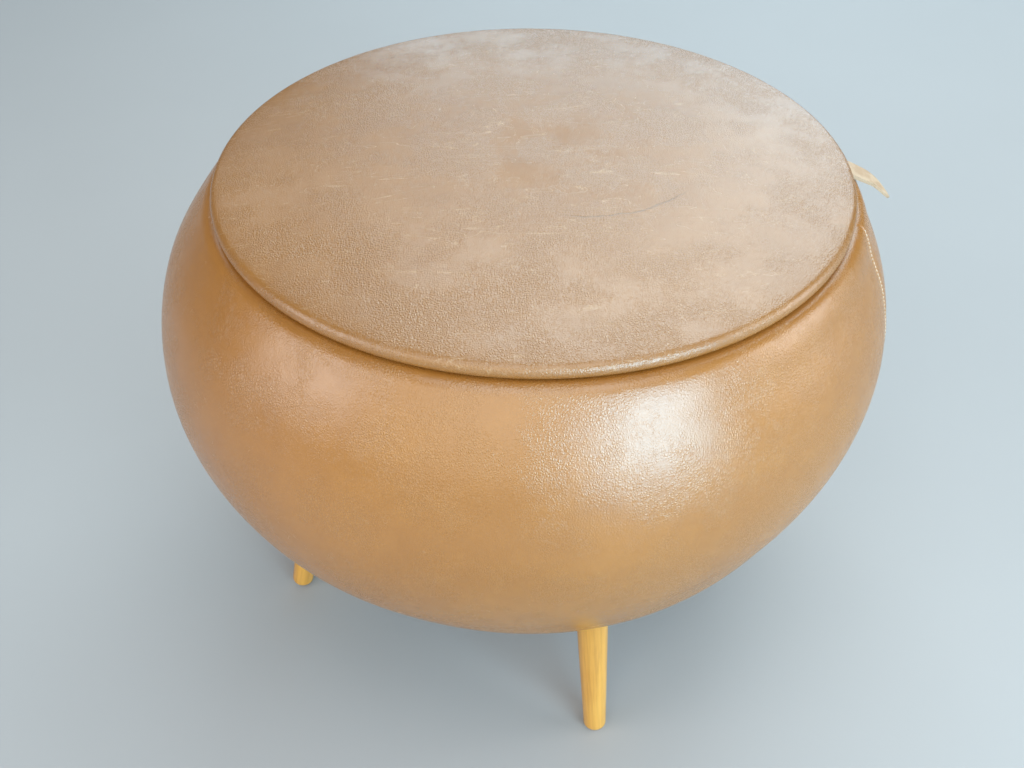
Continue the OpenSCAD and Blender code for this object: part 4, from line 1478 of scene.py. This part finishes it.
nodeFinish = {
    "bottom_board": birchPly, "rim_ring": birchPly, "lid_board": birchPly, "lid_disc": birchPly,
    "drum_wall": drumFibre, "lining_card": card, "foot_glides": nylon,
}
for name in ("hanger_bolts", "t_nuts", "glide_nails", "base_staples", "rim_staples", "drum_pins", "ring_pins",
             "disc_screws", "tab_screws", "lid_staples"):
    nodeFinish[name] = zinc
for name, finish in nodeFinish.items():
    obj = bpy.data.objects[name]
    if not obj.data.materials:
        obj.data.materials.append(finish)
    for index in range(len(obj.material_slots)):
        obj.material_slots[index].material = finish
print("hardware and boards finished")


# floor, light and camera

studio = {
    "floorTone": (0.46, 0.465, 0.47),
    "floorSize": 9.0,
    "worldTone": (0.80, 0.86, 0.93),
    "worldStrength": 0.14,
    "backdropStrength": 0.62,
    "exposure": 0.0,
}
# each light: name, place, target, width, height, power in watts, colour
softLights = (
    ("farWindow", (0.85, 3.1, 0.95), (0.0, 0.0, 0.42), 3.0, 0.7, 24, (0.58, 0.84, 1.0)),
    ("farSky", (-0.30, 2.40, 1.95), (0.0, 0.0, 0.42), 2.6, 1.2, 12, (0.84, 0.96, 1.0)),
    ("sideSky", (1.25, 1.90, 1.80), (0.0, 0.0, 0.42), 1.1, 1.5, 16, (0.80, 0.95, 1.0)),
    ("highSky", (0.45, 1.20, 2.55), (0.0, 0.0, 0.42), 2.2, 0.85, 26, (0.82, 0.96, 1.0)),
    ("ceiling", (0.10, -1.15, 2.70), (0.0, 0.0, 0.42), 2.4, 2.0, 32, (0.88, 0.96, 1.0)),
    ("frontWindow", (1.00, -1.70, 0.64), (0.15, -0.26, 0.30), 1.12, 1.12, 33, (0.55, 0.84, 1.0)),
    ("roomFill", (-0.75, -2.60, 1.30), (0.0, 0.0, 0.3), 2.4, 2.1, 30, (1.0, 0.92, 0.80)),
    ("leftFill", (-2.2, -0.9, 1.2), (0.0, 0.0, 0.3), 1.6, 1.6, 20, (0.96, 0.98, 1.0)),
    ("rightFill", (2.3, -0.35, 1.0), (0.0, 0.0, 0.3), 1.5, 1.6, 23, (0.96, 0.98, 1.0)),
)

bpy.ops.mesh.primitive_plane_add(size=studio["floorSize"], location=(0, 0, 0))
floor = bpy.context.object
floor.name = "studio_floor"
floorMat, g, shader, where = newMaterial("paleFloor", Roughness=0.7)
shade = g.noise(where, 3.0, 3.0, 0.5)
tone = studio["floorTone"]
darker, lighter = (colour(*[v * k for v in tone]) for k in (0.97, 1.03))
g.feed(shader.inputs["Base Color"], g.mix(shade, darker, lighter))
floor.data.materials.append(floorMat)

world = bpy.data.worlds.new("studioWorld")
world.use_nodes = True
w = Graph(world.node_tree)
seen = w.node("ShaderNodeLightPath").outputs["Is Camera Ray"]
backdrop = world.node_tree.nodes["Background"]
backdrop.inputs["Color"].default_value = colour(*studio["worldTone"])
w.feed(backdrop.inputs["Strength"], w.ramp(seen, studio["worldStrength"], studio["backdropStrength"]))
scene.world = world

for name, place, target, width, height, power, tint in softLights:
    data = bpy.data.lights.new(name, "AREA")
    data.shape = "RECTANGLE"
    data.size, data.size_y = width, height
    data.energy = power
    data.color = tint
    lamp = bpy.data.objects.new(name, data)
    scene.collection.objects.link(lamp)
    lamp.location = place
    lamp.rotation_euler = (Vector(target) - Vector(place)).to_track_quat("-Z", "Y").to_euler()

view = {
    "place": (-0.05445, -0.84204, 0.92870),
    "right": (0.99905, -0.04361, 0.00228),
    "up": (0.02667, 0.65053, 0.75901),
    "forward": (0.03458, 0.75823, -0.65108),
    "lens": 43.2246,
}
cameraData = bpy.data.cameras.new("mainCamera")
cameraData.lens = view["lens"]
cameraData.sensor_width = 36.0
camera = bpy.data.objects.new("mainCamera", cameraData)
scene.collection.objects.link(camera)
cameraTurn = Matrix((view["right"], view["up"], [-v for v in view["forward"]])).transposed()
camera.matrix_world = Matrix.Translation(view["place"]) @ cameraTurn.to_4x4()
scene.camera = camera
scene.view_settings.view_transform = "Standard"
scene.view_settings.exposure = studio["exposure"]
print("floor, light and camera set")
